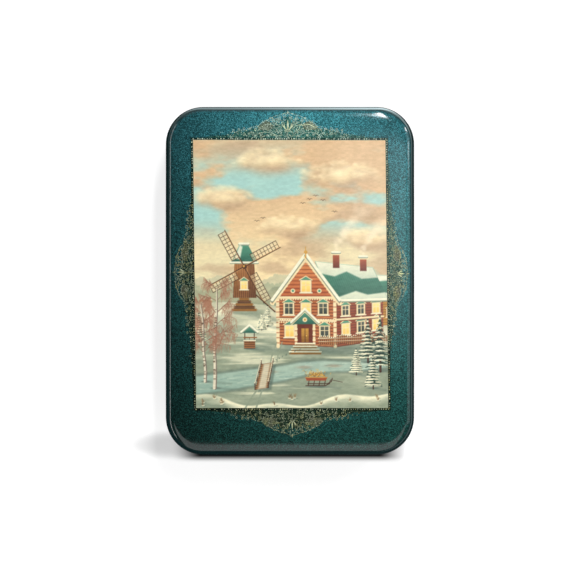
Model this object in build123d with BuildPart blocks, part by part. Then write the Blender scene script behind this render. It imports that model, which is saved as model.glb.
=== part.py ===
from build123d import *

import os
from math import hypot, radians, sqrt, tan

# Lacquered papier-mache box with a hinged, slightly domed lid, closed at rest.
# Millimetres, +Z up, the lid's hinge at +Y, the origin at the centre of the underside.

# Whole box, seen from above and from the side
box_width = 100.0
box_length = 140.0
box_height = 36.0
corner_radius = 15.0

# Case: a wound wall and a pressed base plate glued into its lower edge
wall_thickness = 3.8
rim_rounding = 0.35
foot_rounding = 1.2
base_thickness = 4.0
base_seat_width = 1.8
glue_gap = 0.05

# Lining strip, which stands proud of the rim and locates the lid
liner_thickness = 1.2
lip_height = 2.0
lip_rounding = 0.4

# Lid: a frame cut from the same wound board, and a pressed domed plate on it
parting_gap = 0.15
lid_fit = 0.25
frame_height = 3.65
frame_lead_in = 0.4
dome_rise = 1.2
plate_thickness = 4.2
edge_roll_radius = 4.0
edge_land = 0.125

# Barrel hinge let into the back edge
hinge_length = 46.0
hinge_inset = 1.5
knuckle_count = 5
knuckle_gap = 0.2
barrel_radius = 1.2
bore_radius = 0.5
pin_fit = 0.05
pin_end_rounding = 0.15
leaf_thickness = 0.5
body_leaf_depth = 6.5
lid_leaf_depth = 5.2
leaf_corner_radius = 1.0
kerf_fit = 0.05
kerf_end_room = 0.3
cove_room = 0.25
bevel_angle = 50.0

# Nails across the hinge leaves
nail_count = 4
nail_radius = 0.35
nail_fit = 0.02
nail_cover = 0.5

# One overrun for all cutting tools
overrun = 1.0

# Places that follow from the sizes above
back = box_length / 2
dome_radius = (back**2 + dome_rise**2) / (2 * dome_rise)
dome_centre = box_height - dome_radius
corner_reach = hypot(box_width / 2 - corner_radius, back - corner_radius) + corner_radius
corner_drop = dome_radius - sqrt(dome_radius**2 - corner_reach**2)
crown_height = edge_land + edge_roll_radius + corner_drop

lid_seat = box_height - crown_height
lid_foot = lid_seat - frame_height
rim_height = lid_foot - parting_gap
liner_inset = wall_thickness + glue_gap
frame_inset = liner_inset - lid_fit
base_inset = wall_thickness - base_seat_width + glue_gap

axis_y = back - hinge_inset
axis_z = rim_height + parting_gap / 2
cove_radius = barrel_radius + cove_room
knuckle_pitch = hinge_length / knuckle_count
pin_radius = bore_radius - pin_fit
nail_pitch = hinge_length / nail_count
body_nail_z = axis_z - (cove_radius + body_leaf_depth) / 2
lid_nail_z = (axis_z + cove_radius + lid_seat) / 2


def outline(inset):
    """The box's rounded outline, moved inwards by the inset, in the open sketch."""
    RectangleRounded(box_width - 2 * inset, box_length - 2 * inset, corner_radius - inset)


def nail_row(radius, height):
    """A row of circles for the nails at one height, in an open sketch that faces the back."""
    with Locations((0, height)):
        with GridLocations(nail_pitch, nail_pitch, nail_count, 1):
            Circle(radius)


def knuckle_places(first):
    """Middles along the barrel of every second knuckle, from the first one named."""
    start = -hinge_length / 2 + knuckle_pitch / 2
    return [start + step * knuckle_pitch for step in range(first, knuckle_count, 2)]


def knuckles(first, radius, length, mode):
    """Short cylinders on the hinge axis, for every second knuckle, in the open part."""
    with Locations(*[(place, axis_y, axis_z) for place in knuckle_places(first)]):
        Cylinder(radius, length, rotation=(0, 90, 0), mode=mode)


def hinge_leaf(first, depth, side):
    """A leaf that reaches from its knuckles to the depth, downwards or upwards by the side's sign."""
    root = (barrel_radius + bore_radius) / 2
    with BuildSketch(Plane.XZ.offset(-axis_y)) as leaf:
        with Locations((0, axis_z + side * (root + depth) / 2)):
            Rectangle(hinge_length, depth - root)
    extrude(leaf.sketch, amount=leaf_thickness / 2, both=True)
    far_edges = edges().filter_by(Axis.Y).group_by(Axis.Z)[-1 if side > 0 else 0]
    fillet(far_edges, leaf_corner_radius)
    knuckles(1 - first, cove_radius, knuckle_pitch + knuckle_gap, Mode.SUBTRACT)
    knuckles(first, barrel_radius, knuckle_pitch - knuckle_gap, Mode.ADD)
    with Locations((0, axis_y, axis_z)):
        Cylinder(bore_radius, hinge_length + 2 * overrun, rotation=(0, 90, 0), mode=Mode.SUBTRACT)


# The V along the back edge that lets the lid open, with a cove round the barrel
with BuildPart() as hinge_groove:
    with BuildSketch(Plane.YZ):
        with BuildLine():
            reach = hinge_inset + overrun
            rise = reach * tan(radians(bevel_angle))
            Polyline(
                (axis_y, axis_z),
                (axis_y + reach, axis_z + rise),
                (axis_y + reach, axis_z - rise),
                close=True,
            )
        make_face()
    extrude(amount=box_width / 2 + overrun, both=True)
    with Locations((0, axis_y, axis_z)):
        Cylinder(cove_radius, hinge_length + 2 * cove_room, rotation=(0, 90, 0))

# The saw kerf that takes both leaves
with BuildPart() as hinge_kerf:
    with BuildSketch(Plane.XZ.offset(-axis_y)):
        with Locations((0, axis_z + (lid_leaf_depth - body_leaf_depth) / 2)):
            Rectangle(
                hinge_length + 2 * kerf_end_room,
                body_leaf_depth + lid_leaf_depth + 2 * kerf_end_room,
            )
    extrude(amount=leaf_thickness / 2 + kerf_fit, both=True)

# The wall of the case
with BuildPart() as body_wall:
    with BuildSketch():
        outline(0)
    extrude(amount=rim_height)
    fillet(faces().sort_by(Axis.Z)[0].edges(), foot_rounding)
    fillet(faces().sort_by(Axis.Z)[-1].edges(), rim_rounding)
    with BuildSketch():
        outline(wall_thickness)
    extrude(amount=rim_height, mode=Mode.SUBTRACT)
    with BuildSketch():
        outline(wall_thickness - base_seat_width)
    extrude(amount=base_thickness, mode=Mode.SUBTRACT)
    add(hinge_groove.part, mode=Mode.SUBTRACT)
    add(hinge_kerf.part, mode=Mode.SUBTRACT)
    with BuildSketch(Plane.XZ.offset(nail_cover - back)):
        nail_row(nail_radius + nail_fit, body_nail_z)
    extrude(amount=wall_thickness - nail_cover, mode=Mode.SUBTRACT)

# The base plate, flush with the wall's lower edge
with BuildPart() as base_plate:
    with BuildSketch():
        outline(base_inset)
    extrude(amount=base_thickness)

# The lining strip on the base plate, with its lip above the rim
with BuildPart() as lip_liner:
    with BuildSketch(Plane.XY.offset(base_thickness)):
        outline(liner_inset)
        offset(amount=-liner_thickness, mode=Mode.SUBTRACT)
    extrude(amount=rim_height + lip_height - base_thickness)
    fillet(faces().sort_by(Axis.Z)[-1].edges(), lip_rounding)

# The lid's frame, which closes over the lip
with BuildPart() as lid_frame:
    with BuildSketch(Plane.XY.offset(lid_foot)):
        outline(0)
    extrude(amount=frame_height)
    fillet(faces().sort_by(Axis.Z)[0].edges(), rim_rounding)
    with BuildSketch(Plane.XY.offset(lid_foot)):
        outline(frame_inset)
    extrude(amount=frame_height, mode=Mode.SUBTRACT)
    chamfer(faces().sort_by(Axis.Z)[0].inner_wires()[0].edges(), frame_lead_in)
    add(hinge_groove.part, mode=Mode.SUBTRACT)
    add(hinge_kerf.part, mode=Mode.SUBTRACT)
    with BuildSketch(Plane.XZ.offset(nail_cover - back)):
        nail_row(nail_radius + nail_fit, lid_nail_z)
    extrude(amount=frame_inset - nail_cover, mode=Mode.SUBTRACT)

# The hollow under the lid's plate, which keeps the plate of even thickness
with BuildPart() as dish_space:
    with BuildSketch(Plane.XY.offset(lid_seat - overrun)):
        outline(frame_inset)
    extrude(amount=box_height - lid_seat)
    with Locations((0, 0, dome_centre)):
        Sphere(dome_radius - plate_thickness, rotation=(90, 0, 0), mode=Mode.INTERSECT)

# The lid's domed plate with its rolled edge
with BuildPart() as lid_top:
    with BuildSketch(Plane.XY.offset(lid_seat)):
        outline(0)
    extrude(amount=box_height - lid_seat + overrun)
    with Locations((0, 0, dome_centre)):
        Sphere(dome_radius, rotation=(90, 0, 0), mode=Mode.INTERSECT)
    fillet(faces().sort_by(Axis.Z)[-1].edges(), edge_roll_radius)
    add(dish_space.part, mode=Mode.SUBTRACT)
    add(hinge_kerf.part, mode=Mode.SUBTRACT)

# The hinge: the case's leaf has the odd knuckles, the lid's leaf the even ones
with BuildPart() as hinge_body_leaf:
    hinge_leaf(0, body_leaf_depth, -1)
    with BuildSketch(Plane.XZ.offset(-axis_y)):
        nail_row(nail_radius + nail_fit, body_nail_z)
    extrude(amount=leaf_thickness, both=True, mode=Mode.SUBTRACT)

with BuildPart() as hinge_lid_leaf:
    hinge_leaf(1, lid_leaf_depth, 1)
    with BuildSketch(Plane.XZ.offset(-axis_y)):
        nail_row(nail_radius + nail_fit, lid_nail_z)
    extrude(amount=leaf_thickness, both=True, mode=Mode.SUBTRACT)

with BuildPart() as hinge_pin:
    with BuildSketch(Plane.YZ):
        with Locations((axis_y, axis_z)):
            Circle(pin_radius)
    extrude(amount=hinge_length / 2, both=True)
    fillet(edges().filter_by(GeomType.CIRCLE), pin_end_rounding)

with BuildPart() as hinge_body_nails:
    with BuildSketch(Plane.XZ.offset(nail_cover - back)):
        nail_row(nail_radius, body_nail_z)
    extrude(amount=wall_thickness - nail_cover)

with BuildPart() as hinge_lid_nails:
    with BuildSketch(Plane.XZ.offset(nail_cover - back)):
        nail_row(nail_radius, lid_nail_z)
    extrude(amount=frame_inset - nail_cover)

pieces = {
    "body_wall": body_wall,
    "base_plate": base_plate,
    "lip_liner": lip_liner,
    "lid_frame": lid_frame,
    "lid_top": lid_top,
    "hinge_body_leaf": hinge_body_leaf,
    "hinge_lid_leaf": hinge_lid_leaf,
    "hinge_pin": hinge_pin,
    "hinge_body_nails": hinge_body_nails,
    "hinge_lid_nails": hinge_lid_nails,
}

os.makedirs("parts", exist_ok=True)
for name, piece in pieces.items():
    piece.part.label = name
    export_step(piece.part, f"parts/{name}.step")
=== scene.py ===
"""Dresses a lacquered papier-mache box: a flake-ground lid with gold scrollwork and a painted winter view.

Everything is in metres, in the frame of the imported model: +Z is up out of the lid, +Y runs towards the
hinge and the camera looks straight down on the lid.
"""

from __future__ import annotations

import logging
import math
from collections.abc import Callable
from dataclasses import dataclass
from enum import Enum

import bpy
import numpy as np
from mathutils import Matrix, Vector

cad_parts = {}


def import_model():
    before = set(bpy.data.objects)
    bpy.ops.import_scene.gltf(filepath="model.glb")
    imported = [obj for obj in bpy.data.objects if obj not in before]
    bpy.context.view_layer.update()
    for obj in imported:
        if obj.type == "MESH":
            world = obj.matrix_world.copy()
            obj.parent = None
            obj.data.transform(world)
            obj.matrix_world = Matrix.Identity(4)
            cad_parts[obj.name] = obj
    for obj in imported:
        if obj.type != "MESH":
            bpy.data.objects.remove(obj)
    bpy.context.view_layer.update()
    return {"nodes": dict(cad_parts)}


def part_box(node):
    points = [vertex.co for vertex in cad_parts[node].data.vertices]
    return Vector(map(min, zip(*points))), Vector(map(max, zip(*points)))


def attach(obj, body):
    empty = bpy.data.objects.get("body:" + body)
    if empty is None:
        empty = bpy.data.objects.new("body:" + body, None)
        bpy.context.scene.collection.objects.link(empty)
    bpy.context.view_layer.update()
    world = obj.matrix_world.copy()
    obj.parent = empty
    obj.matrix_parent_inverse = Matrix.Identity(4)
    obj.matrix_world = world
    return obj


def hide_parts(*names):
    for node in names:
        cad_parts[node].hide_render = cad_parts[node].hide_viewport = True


LOG = logging.getLogger("lacquer_box")
MM = 0.001

Array = np.ndarray
Colour = tuple[float, float, float]
Point = tuple[float, float]
# A ramp's start and end, and its values there
Ramp = tuple[float, float, float, float]
Material = bpy.types.Material
Node = bpy.types.Node
Socket = bpy.types.NodeSocket
Thing = bpy.types.Object
WHITE = (1.0, 1.0, 1.0, 1.0)


def decoded(screen: Array) -> Array:
    """Screen values of 0 to 1 as the linear values that light adds up in."""
    return np.where(screen <= 0.04045, screen / 12.92, ((screen + 0.055) / 1.055) ** 2.4)


def linear(red: int, green: int, blue: int) -> Colour:
    """A screen colour of 0 to 255 as the linear colour that a shader takes."""
    return tuple(decoded(np.array((red, green, blue)) / 255).tolist())


def smoothstep(low: float, high: float, value: Array) -> Array:
    """A soft step from 0 at low to 1 at high."""
    share = np.clip((value - low) / (high - low), 0.0, 1.0)
    return share * share * (3.0 - 2.0 * share)


def deselect_all() -> None:
    """Leaves object mode with nothing selected, as a new primitive needs."""
    if bpy.context.object is not None and bpy.context.object.mode != "OBJECT":
        bpy.ops.object.mode_set(mode="OBJECT")
    bpy.ops.object.select_all(action="DESELECT")


def places_of(mesh: bpy.types.Mesh) -> Array:
    """The mesh's points.

    Args:
        mesh: The mesh.

    Returns:
        Its points, one to a row.
    """
    places = np.empty(len(mesh.vertices) * 3)
    mesh.vertices.foreach_get("co", places)
    return places.reshape(-1, 3)


def move_points(mesh: bpy.types.Mesh, places: Array) -> None:
    """Moves the mesh's points to new places."""
    mesh.vertices.foreach_set("co", places.reshape(-1))
    mesh.update()


class Slot(Enum):
    """Names of material slots that go along with the new pieces; nothing reads them."""

    FLAKE = "teal_flake_lacquer"
    GOLD = "ornament_gold"
    PICTURE = "painted_picture"


# Finishes


class Nodes:
    """A short way to write the nodes of a material, a light or a world."""

    def __init__(self, tree: bpy.types.NodeTree) -> None:
        """Empties a tree to write in.

        Args:
            tree: The node tree.
        """
        self.nodes = tree.nodes
        self.links = tree.links
        self.nodes.clear()

    def fill(self, socket: Socket, value: object) -> None:
        """Links a socket to its source, or sets its value.

        Args:
            socket: The input to fill.
            value: A source socket or a value.
        """
        if isinstance(value, Socket):
            self.links.new(value, socket)
        else:
            socket.default_value = value

    def node(self, kind: str, settings: dict | None = None, **inputs: object) -> Node:
        """Adds a node.

        Args:
            kind: The node's type, without its leading ShaderNode.
            settings: Properties of the node itself.
            inputs: Values or source sockets for its inputs, by name or by place as i0, i1 and so on.

        Returns:
            The new node.
        """
        made = self.nodes.new("ShaderNode" + kind)
        for name, value in (settings or {}).items():
            setattr(made, name, value)
        for name, value in inputs.items():
            by_place = name[0] == "i" and name[1:].isdigit()
            self.fill(made.inputs[int(name[1:]) if by_place else name], value)
        return made

    def math(self, operation: str, first: object, second: object = 0.0) -> Socket:
        """One sum of two values or sockets."""
        return self.node("Math", {"operation": operation}, i0=first, i1=second).outputs[0]

    def product(self, first: object, *others: object) -> Socket:
        """The product of two or more values or sockets.

        Args:
            first: The first of them.
            others: The rest.

        Returns:
            The product's socket.
        """
        for other in others:
            first = self.math("MULTIPLY", first, other)
        return first

    def vector(self, operation: str, first: object, **inputs: object) -> Socket:
        """One sum of a vector with another or with a scale."""
        return self.node("VectorMath", {"operation": operation}, i0=first, **inputs).outputs[0]

    def ramp(
        self, source: Socket, start: float = 0.0, end: float = 1.0, low: object = 0.0, high: float = 1.0,
        smooth: bool = False,
    ) -> Socket:
        """A value that goes from low to high while the source goes from start to end.

        Args:
            source: The value that drives it.
            start: The source's value where the ramp starts.
            end: The source's value where it ends.
            low: The ramp's value at its start, or a socket for it.
            high: The ramp's value at its end.
            smooth: True for a ramp that eases in and out.

        Returns:
            The ramp's socket.
        """
        settings = {"interpolation_type": "SMOOTHSTEP" if smooth else "LINEAR"}
        return self.node("MapRange", settings, i0=source, i1=start, i2=end, i3=low, i4=high).outputs[0]

    def spot(self) -> list[Socket]:
        """Object coordinates across, along and up, in metres."""
        return list(self.node("SeparateXYZ", None, Vector=self.node("TexCoord").outputs["Object"]).outputs)


class Tree(Nodes):
    """The nodes of one material with a main shader."""

    def __init__(self, name: str) -> None:
        """Makes the material with its output and its main shader.

        Args:
            name: The material's name.
        """
        self.material = bpy.data.materials.new(name)
        self.material.use_nodes = True
        super().__init__(self.material.node_tree)
        self.shader = self.node("BsdfPrincipled")
        self.output = self.node("OutputMaterial", None, Surface=self.shader.outputs["BSDF"])

    def set(self, **values: object) -> None:
        """Fills sockets of the main shader by name, with spaces written as underscores."""
        for name, value in values.items():
            self.fill(self.shader.inputs[name.replace("_", " ").title().replace("Ior", "IOR")], value)

    def place(self) -> Socket:
        """Object coordinates, in metres."""
        return self.node("TexCoord").outputs["Object"]

    def noise(self, size: float, detail: float = 2.0, offset: float = 0.0) -> Socket:
        """Soft noise whose grains are about the given size across.

        Args:
            size: Size of a grain in metres.
            detail: Octaves above the first.
            offset: A shift that sets one noise apart from another.

        Returns:
            The noise's value socket.
        """
        spot = self.vector("ADD", self.place(), i1=(offset, offset, offset))
        return self.node("TexNoise", Vector=spot, Scale=1.0 / size, Detail=detail).outputs["Fac"]

    def mixed(self, share: object, first: object, second: object, kind: str = "MIX") -> Socket:
        """A mix of two colours.

        Args:
            share: Share of the second, as a number or a socket.
            first: The first colour, as a value or a socket.
            second: The second colour, as a value or a socket.
            kind: How the second is mixed in.

        Returns:
            The mixed colour's socket.
        """
        made = self.node("Mix", {"data_type": "RGBA", "blend_type": kind}, i0=share)
        for socket, value in ((made.inputs[6], first), (made.inputs[7], second)):
            self.fill(socket, (*value, 1.0) if isinstance(value, tuple) else value)
        return made.outputs[2]

    def bump(self, height: Socket, depth: float) -> Socket:
        """A bump of the given depth in metres."""
        return self.node("Bump", None, Height=height, Distance=depth, Strength=1.0).outputs["Normal"]


@dataclass(frozen=True, kw_only=True)
class Finish:
    """A finish of the box, under a clear coat of lacquer where it has one."""

    name: str
    coat: float = 1.0
    coat_roughness: float = 0.08
    coat_index: float = 1.52

    def make(self) -> Material:
        """Builds the material.

        Returns:
            The finish, under its coat.
        """
        tree = Tree(self.name)
        tree.set(coat_weight=self.coat, coat_roughness=self.coat_roughness, coat_ior=self.coat_index)
        self.paint(tree)
        return tree.material

    def paint(self, tree: Tree) -> None:
        """Fills the main shader's sockets."""
        raise NotImplementedError


@dataclass(frozen=True, kw_only=True)
class FlakeGround(Finish):
    """Teal metal flake in lacquer that turns black over the rolled edge, with light and shade painted into
    its colour: darker to the front and left, lighter to the back and right.
    """

    name: str = "teal_flake_lacquer"
    deep: Colour = (0.006, 0.036, 0.030)
    bright: Colour = (0.078, 0.420, 0.350)
    deep_blue: Colour = (0.007, 0.040, 0.044)
    bright_blue: Colour = (0.088, 0.420, 0.490)
    side: Colour = (0.004, 0.020, 0.021)
    flake: float = 0.27 * MM
    flake_round: Ramp = (0.62, 0.22, 0.45, 1.0)
    sparsity: float = 1.7
    cloud: float = 14 * MM
    drift: float = 0.07
    tilt: float = 0.16
    metal: float = 0.07
    smoothest: float = 0.45
    roughest: float = 0.61
    # Painted light and shade: across, along and the corner fields scale the colour by place, darker to the
    # left and front, brighter to the back and right, and dimmed at the back right corner.
    across: Ramp = (-48 * MM, 2 * MM, 0.32, 1.22)
    along: Ramp = (-70 * MM, 62 * MM, 0.24, 1.46)
    corner_across: Point = (4 * MM, 40 * MM)
    corner_along: Point = (20 * MM, 64 * MM)
    corner_painted_dimming: float = 0.60
    blue: Point = (-75 * MM, 60 * MM)
    crown: float = 36.0 * MM
    dome_radius: float = 2.0423
    edge: Point = (1.20 * MM, 0.10 * MM)

    def paint(self, tree: Tree) -> None:
        """Lays the flakes, each with its own brightness and tilt.

        Args:
            tree: The material's nodes.
        """
        x, y, z = tree.spot()
        cells = tree.node("TexVoronoi", None, Vector=tree.place(), Scale=1.0 / self.flake)
        chance = tree.node("SeparateColor", None, Color=cells.outputs["Color"]).outputs
        round_share = tree.ramp(cells.outputs["Distance"], *self.flake_round, smooth=True)
        sparse = tree.product(tree.math("POWER", chance["Red"], self.sparsity), round_share)
        green = tree.mixed(sparse, self.deep, self.bright)
        blue = tree.mixed(sparse, self.deep_blue, self.bright_blue)
        tint = tree.mixed(tree.ramp(y, *self.blue), green, blue)
        # Painted light and shade: the colour is scaled by place, darker to the left and front, dimmed at the
        # back right corner.
        corner = tree.product(tree.ramp(x, *self.corner_across), tree.ramp(y, *self.corner_along))
        body = tree.product(
            tree.ramp(x, *self.across),
            tree.ramp(y, *self.along),
            tree.ramp(tree.noise(self.cloud, 3.0), low=1.0 - self.drift, high=1.0 + self.drift),
            tree.ramp(corner, low=1.0, high=self.corner_painted_dimming),
        )
        squared = tree.math("ADD", tree.product(x, x), tree.product(y, y))
        dome = tree.math("ADD", tree.product(squared, -0.5 / self.dome_radius), self.crown)
        on_dome = tree.ramp(tree.math("SUBTRACT", dome, z), *self.edge, smooth=True)
        centred = tree.vector("SUBTRACT", cells.outputs["Color"], i1=(0.5, 0.5, 0.5))
        leaning = tree.vector("SCALE", centred, Scale=self.tilt)
        turned = tree.vector("ADD", tree.node("NewGeometry").outputs["Normal"], i1=leaning)
        tree.set(
            base_color=tree.mixed(on_dome, self.side, tree.vector("SCALE", tint, Scale=body)),
            metallic=tree.ramp(on_dome, high=self.metal),
            roughness=tree.ramp(chance["Green"], low=self.smoothest, high=self.roughest),
            normal=tree.vector("NORMALIZE", turned),
            specular_ior_level=0.0,
        )


@dataclass(frozen=True, kw_only=True)
class Lacquer(Finish):
    """Lacquer of one colour over polished board, with faint depth and handling marks."""

    deep: Colour
    bright: Colour
    cloud: float = 9 * MM
    speck: float = 0.35 * MM
    smoothest: float = 0.22
    roughest: float = 0.38
    smear: float = 2.2 * MM
    ripple: float = 4 * MM
    ripple_depth: float = 0.6e-6

    def paint(self, tree: Tree) -> None:
        """Lays the colour and the polish.

        Args:
            tree: The material's nodes.
        """
        smears = tree.noise(self.smear, 3.0, 0.13)
        tree.set(
            base_color=self.tone(tree),
            roughness=tree.ramp(smears, low=self.smoothest, high=self.roughest),
            coat_normal=tree.bump(tree.noise(self.ripple, 1.0, 0.55), self.ripple_depth),
        )

    def tone(self, tree: Tree) -> Socket:
        """The lacquer's colour.

        Args:
            tree: The material's nodes.

        Returns:
            The colour's socket.
        """
        cloud, speck = tree.noise(self.cloud, 4.0, 0.31), tree.noise(self.speck, 1.0, 0.77)
        return tree.mixed(tree.product(cloud, speck), self.deep, self.bright)


@dataclass(frozen=True, kw_only=True)
class LinedLacquer(Lacquer):
    """Lacquer with a lining, told apart by how far a place lies inside the box's outline."""

    deep_lining: Colour
    bright_lining: Colour
    half_width: float = 50 * MM
    half_length: float = 70 * MM
    corner: float = 15 * MM
    border: float = 3.0 * MM
    floor: float = 3.9 * MM
    soft: float = 0.08 * MM

    def tone(self, tree: Tree) -> Socket:
        """The colour outside and the lining inside.

        Args:
            tree: The material's nodes.

        Returns:
            The colour's socket.
        """
        x, y, z = tree.spot()
        squares = []
        for place, half in ((x, self.half_width), (y, self.half_length)):
            beyond = tree.math("SUBTRACT", tree.math("ABSOLUTE", place), half - self.corner)
            beyond = tree.math("MAXIMUM", beyond)
            squares.append(tree.product(beyond, beyond))
        reach = tree.math("SQRT", tree.math("ADD", *squares))
        edge = self.corner - self.border
        above = tree.ramp(z, self.floor - self.soft, self.floor)
        lined = tree.product(tree.ramp(reach, edge, edge - self.soft), above)
        cloud = tree.noise(self.cloud, 4.0, 0.31)
        outside = tree.mixed(cloud, self.deep, self.bright)
        return tree.mixed(lined, outside, tree.mixed(cloud, self.deep_lining, self.bright_lining))


@dataclass(frozen=True, kw_only=True)
class Metal(Finish):
    """A worn metal with fine scratches."""

    deep: Colour
    bright: Colour
    roughness: float
    coat: float = 0.0
    grain: float = 0.6 * MM
    grain_depth: float = 4e-6

    def paint(self, tree: Tree) -> None:
        """Lays the tarnish and the scratches.

        Args:
            tree: The material's nodes.
        """
        scratch = tree.noise(self.grain, 6.0, 0.6)
        tree.set(
            base_color=tree.mixed(tree.noise(self.grain * 4, 4.0, 0.2), self.deep, self.bright),
            roughness=tree.ramp(scratch, low=self.roughness - 0.12, high=self.roughness + 0.14),
            normal=tree.bump(scratch, self.grain_depth),
            metallic=1.0,
        )


@dataclass(frozen=True, kw_only=True)
class GoldPaint(Finish):
    """Powdered gold and silver laid with a fine brush under the lacquer, with painted light and shade:
    darker to the left and front.
    """

    name: str = "ornament_gold"
    deep: Colour = linear(104, 114, 62)
    bright: Colour = linear(250, 248, 172)
    silvery: Colour = linear(234, 248, 208)
    cool: Colour = linear(206, 242, 240)
    cool_share: float = 0.55
    metal: float = 0.94
    roughness: float = 0.40
    grain: float = 0.5 * MM
    powder: Point = (0.26, 0.58)
    patch_size: float = 1.7 * MM
    patch: Point = (0.38, 0.56)
    # Painted light and shade: across, the along ramp and full scale the gold's brightness by place, darkest
    # at the left front, brightest at the back.
    across: Ramp = (-40 * MM, 40 * MM, 0.44, 0.58)
    brightest_along: Point = (34 * MM, 58 * MM)
    full: float = 0.88

    def paint(self, tree: Tree) -> None:
        """Lays the powder.

        Args:
            tree: The material's nodes.
        """
        x, y, _ = tree.spot()
        powder = tree.ramp(tree.noise(self.grain, 3.0, 0.4), *self.powder)
        patch = tree.ramp(tree.noise(self.patch_size, 2.0, 0.7), *self.patch)
        # Painted light and shade: the brightness is scaled by place, darkest at the left front, brightest at
        # the back; the same ramp mixes in the cool tone.
        full = tree.ramp(y, *self.brightest_along, smooth=True)
        level = tree.ramp(full, low=tree.ramp(x, *self.across), high=self.full)
        metal = tree.mixed(patch, self.bright, self.silvery)
        metal = tree.mixed(tree.product(full, self.cool_share), metal, self.cool)
        laid = tree.vector("SCALE", tree.mixed(powder, self.deep, metal), Scale=level)
        tree.set(base_color=laid, metallic=self.metal, roughness=self.roughness)


@dataclass(frozen=True, kw_only=True)
class PicturePaint(Finish):
    """Tempera and oil under lacquer, coloured by the painted attribute with fine brush grain."""

    name: str = "painted_picture"
    attribute: str = "paint"
    grain: float = 0.45 * MM
    depth: float = 0.07
    roughness: float = 0.40

    def paint(self, tree: Tree) -> None:
        """Lays the paint.

        Args:
            tree: The material's nodes.
        """
        paint = tree.node("Attribute", {"attribute_name": self.attribute}).outputs["Color"]
        brush = tree.ramp(tree.noise(self.grain, 3.0, 0.9), low=1.0 - self.depth, high=1.0 + self.depth)
        grain = tree.node("CombineXYZ", None, X=brush, Y=brush, Z=brush).outputs[0]
        tree.set(base_color=tree.mixed(1.0, paint, grain, "MULTIPLY"), roughness=self.roughness)


class Finishes:
    """Every finish of the box, made once."""

    black = {"deep": (0.0015, 0.0020, 0.0020), "bright": (0.010, 0.012, 0.012)}
    red_deep = (0.240, 0.012, 0.006)
    red_bright = (0.520, 0.040, 0.018)

    def __init__(self) -> None:
        """Makes them."""
        # Each flake ground here keeps FlakeGround's painted light and shade, darker to the front and left.
        self.flake = FlakeGround().make()
        self.glaze = FlakeGround(
            name="ornament_glaze", deep=(0.005, 0.018, 0.008), bright=(0.125, 0.225, 0.120),
            deep_blue=(0.006, 0.030, 0.024), bright_blue=(0.100, 0.300, 0.255),
        ).make()
        self.shade = FlakeGround(
            name="edge_shade", deep=(0.003, 0.012, 0.007), bright=(0.040, 0.110, 0.066),
            deep_blue=(0.003, 0.014, 0.011), bright_blue=(0.040, 0.125, 0.100),
        ).make()
        self.red = Lacquer(name="red_lacquer", deep=self.red_deep, bright=self.red_bright).make()
        self.lined = LinedLacquer(
            name="lined_lacquer", **self.black, deep_lining=self.red_deep, bright_lining=self.red_bright
        ).make()
        # Each gold finish here keeps GoldPaint's painted light and shade; across and full set its brightness
        # at the left, front and back.
        self.gold = GoldPaint().make()
        self.bright_gold = GoldPaint(
            name="bright_gold", deep=linear(192, 192, 118), bright=linear(246, 250, 194),
            silvery=linear(240, 250, 208), cool_share=0.25, across=(-40 * MM, 40 * MM, 0.62, 0.85),
        ).make()
        self.wash = GoldPaint(
            name="gold_wash", deep=linear(54, 70, 46), bright=linear(132, 146, 108),
            silvery=linear(130, 136, 112), cool=linear(116, 142, 128), full=0.70,
        ).make()
        self.picture = PicturePaint().make()
        self.brass = Metal(
            name="hinge_brass", deep=(0.42, 0.27, 0.09), bright=(0.80, 0.58, 0.26), roughness=0.34
        ).make()
        self.steel = Metal(
            name="pin_steel", deep=(0.32, 0.31, 0.30), bright=(0.62, 0.61, 0.60), roughness=0.30
        ).make()


# The lid's form and the meshes that follow it


@dataclass(frozen=True)
class LidForm:
    """The lid's outer shape: a shallow dome with a rolled edge over a rounded outline."""

    half_width: float
    half_length: float
    seat: float
    top: float
    corner_radius: float = 15 * MM
    roll_radius: float = 4 * MM
    dome_rise: float = 1.2 * MM
    plate: float = 4.2 * MM
    rim: float = 3.6 * MM

    @classmethod
    def from_frame(cls) -> LidForm:
        """Reads the lid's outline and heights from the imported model."""
        low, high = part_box("lid_top")
        return cls(high.x, high.y, low.z, high.z)

    @property
    def radius(self) -> float:
        """Radius of the dome."""
        return (self.half_length**2 + self.dome_rise**2) / (2 * self.dome_rise)

    def drop(self, places: Array, sunk: float = 0.0) -> Array:
        """How far a dome lies below its crown.

        Args:
            places: Where to measure, in rows that start with the places across and along.
            sunk: How much smaller the dome's radius is than the lid's.

        Returns:
            The drop at each place.
        """
        curve = self.radius - sunk
        return curve - np.sqrt(curve**2 - places[:, 0] ** 2 - places[:, 1] ** 2)

    def lifted(self, flat: Array, lift: float) -> Array:
        """Places on the lid's face, lifted a little off the lacquered ground."""
        return np.column_stack([flat[:, :2], self.top - self.drop(flat) + lift])

    def within(self, x: float, y: float, inset: float) -> bool:
        """Tells whether a place lies inside the rounded outline.

        Args:
            x: The place across the lid.
            y: The place along the lid.
            inset: How far the outline is moved inwards.

        Returns:
            True for a place inside.
        """
        across = max(abs(x) - self.half_width + self.corner_radius, 0.0)
        along = max(abs(y) - self.half_length + self.corner_radius, 0.0)
        return math.hypot(across, along) < self.corner_radius - inset


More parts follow.
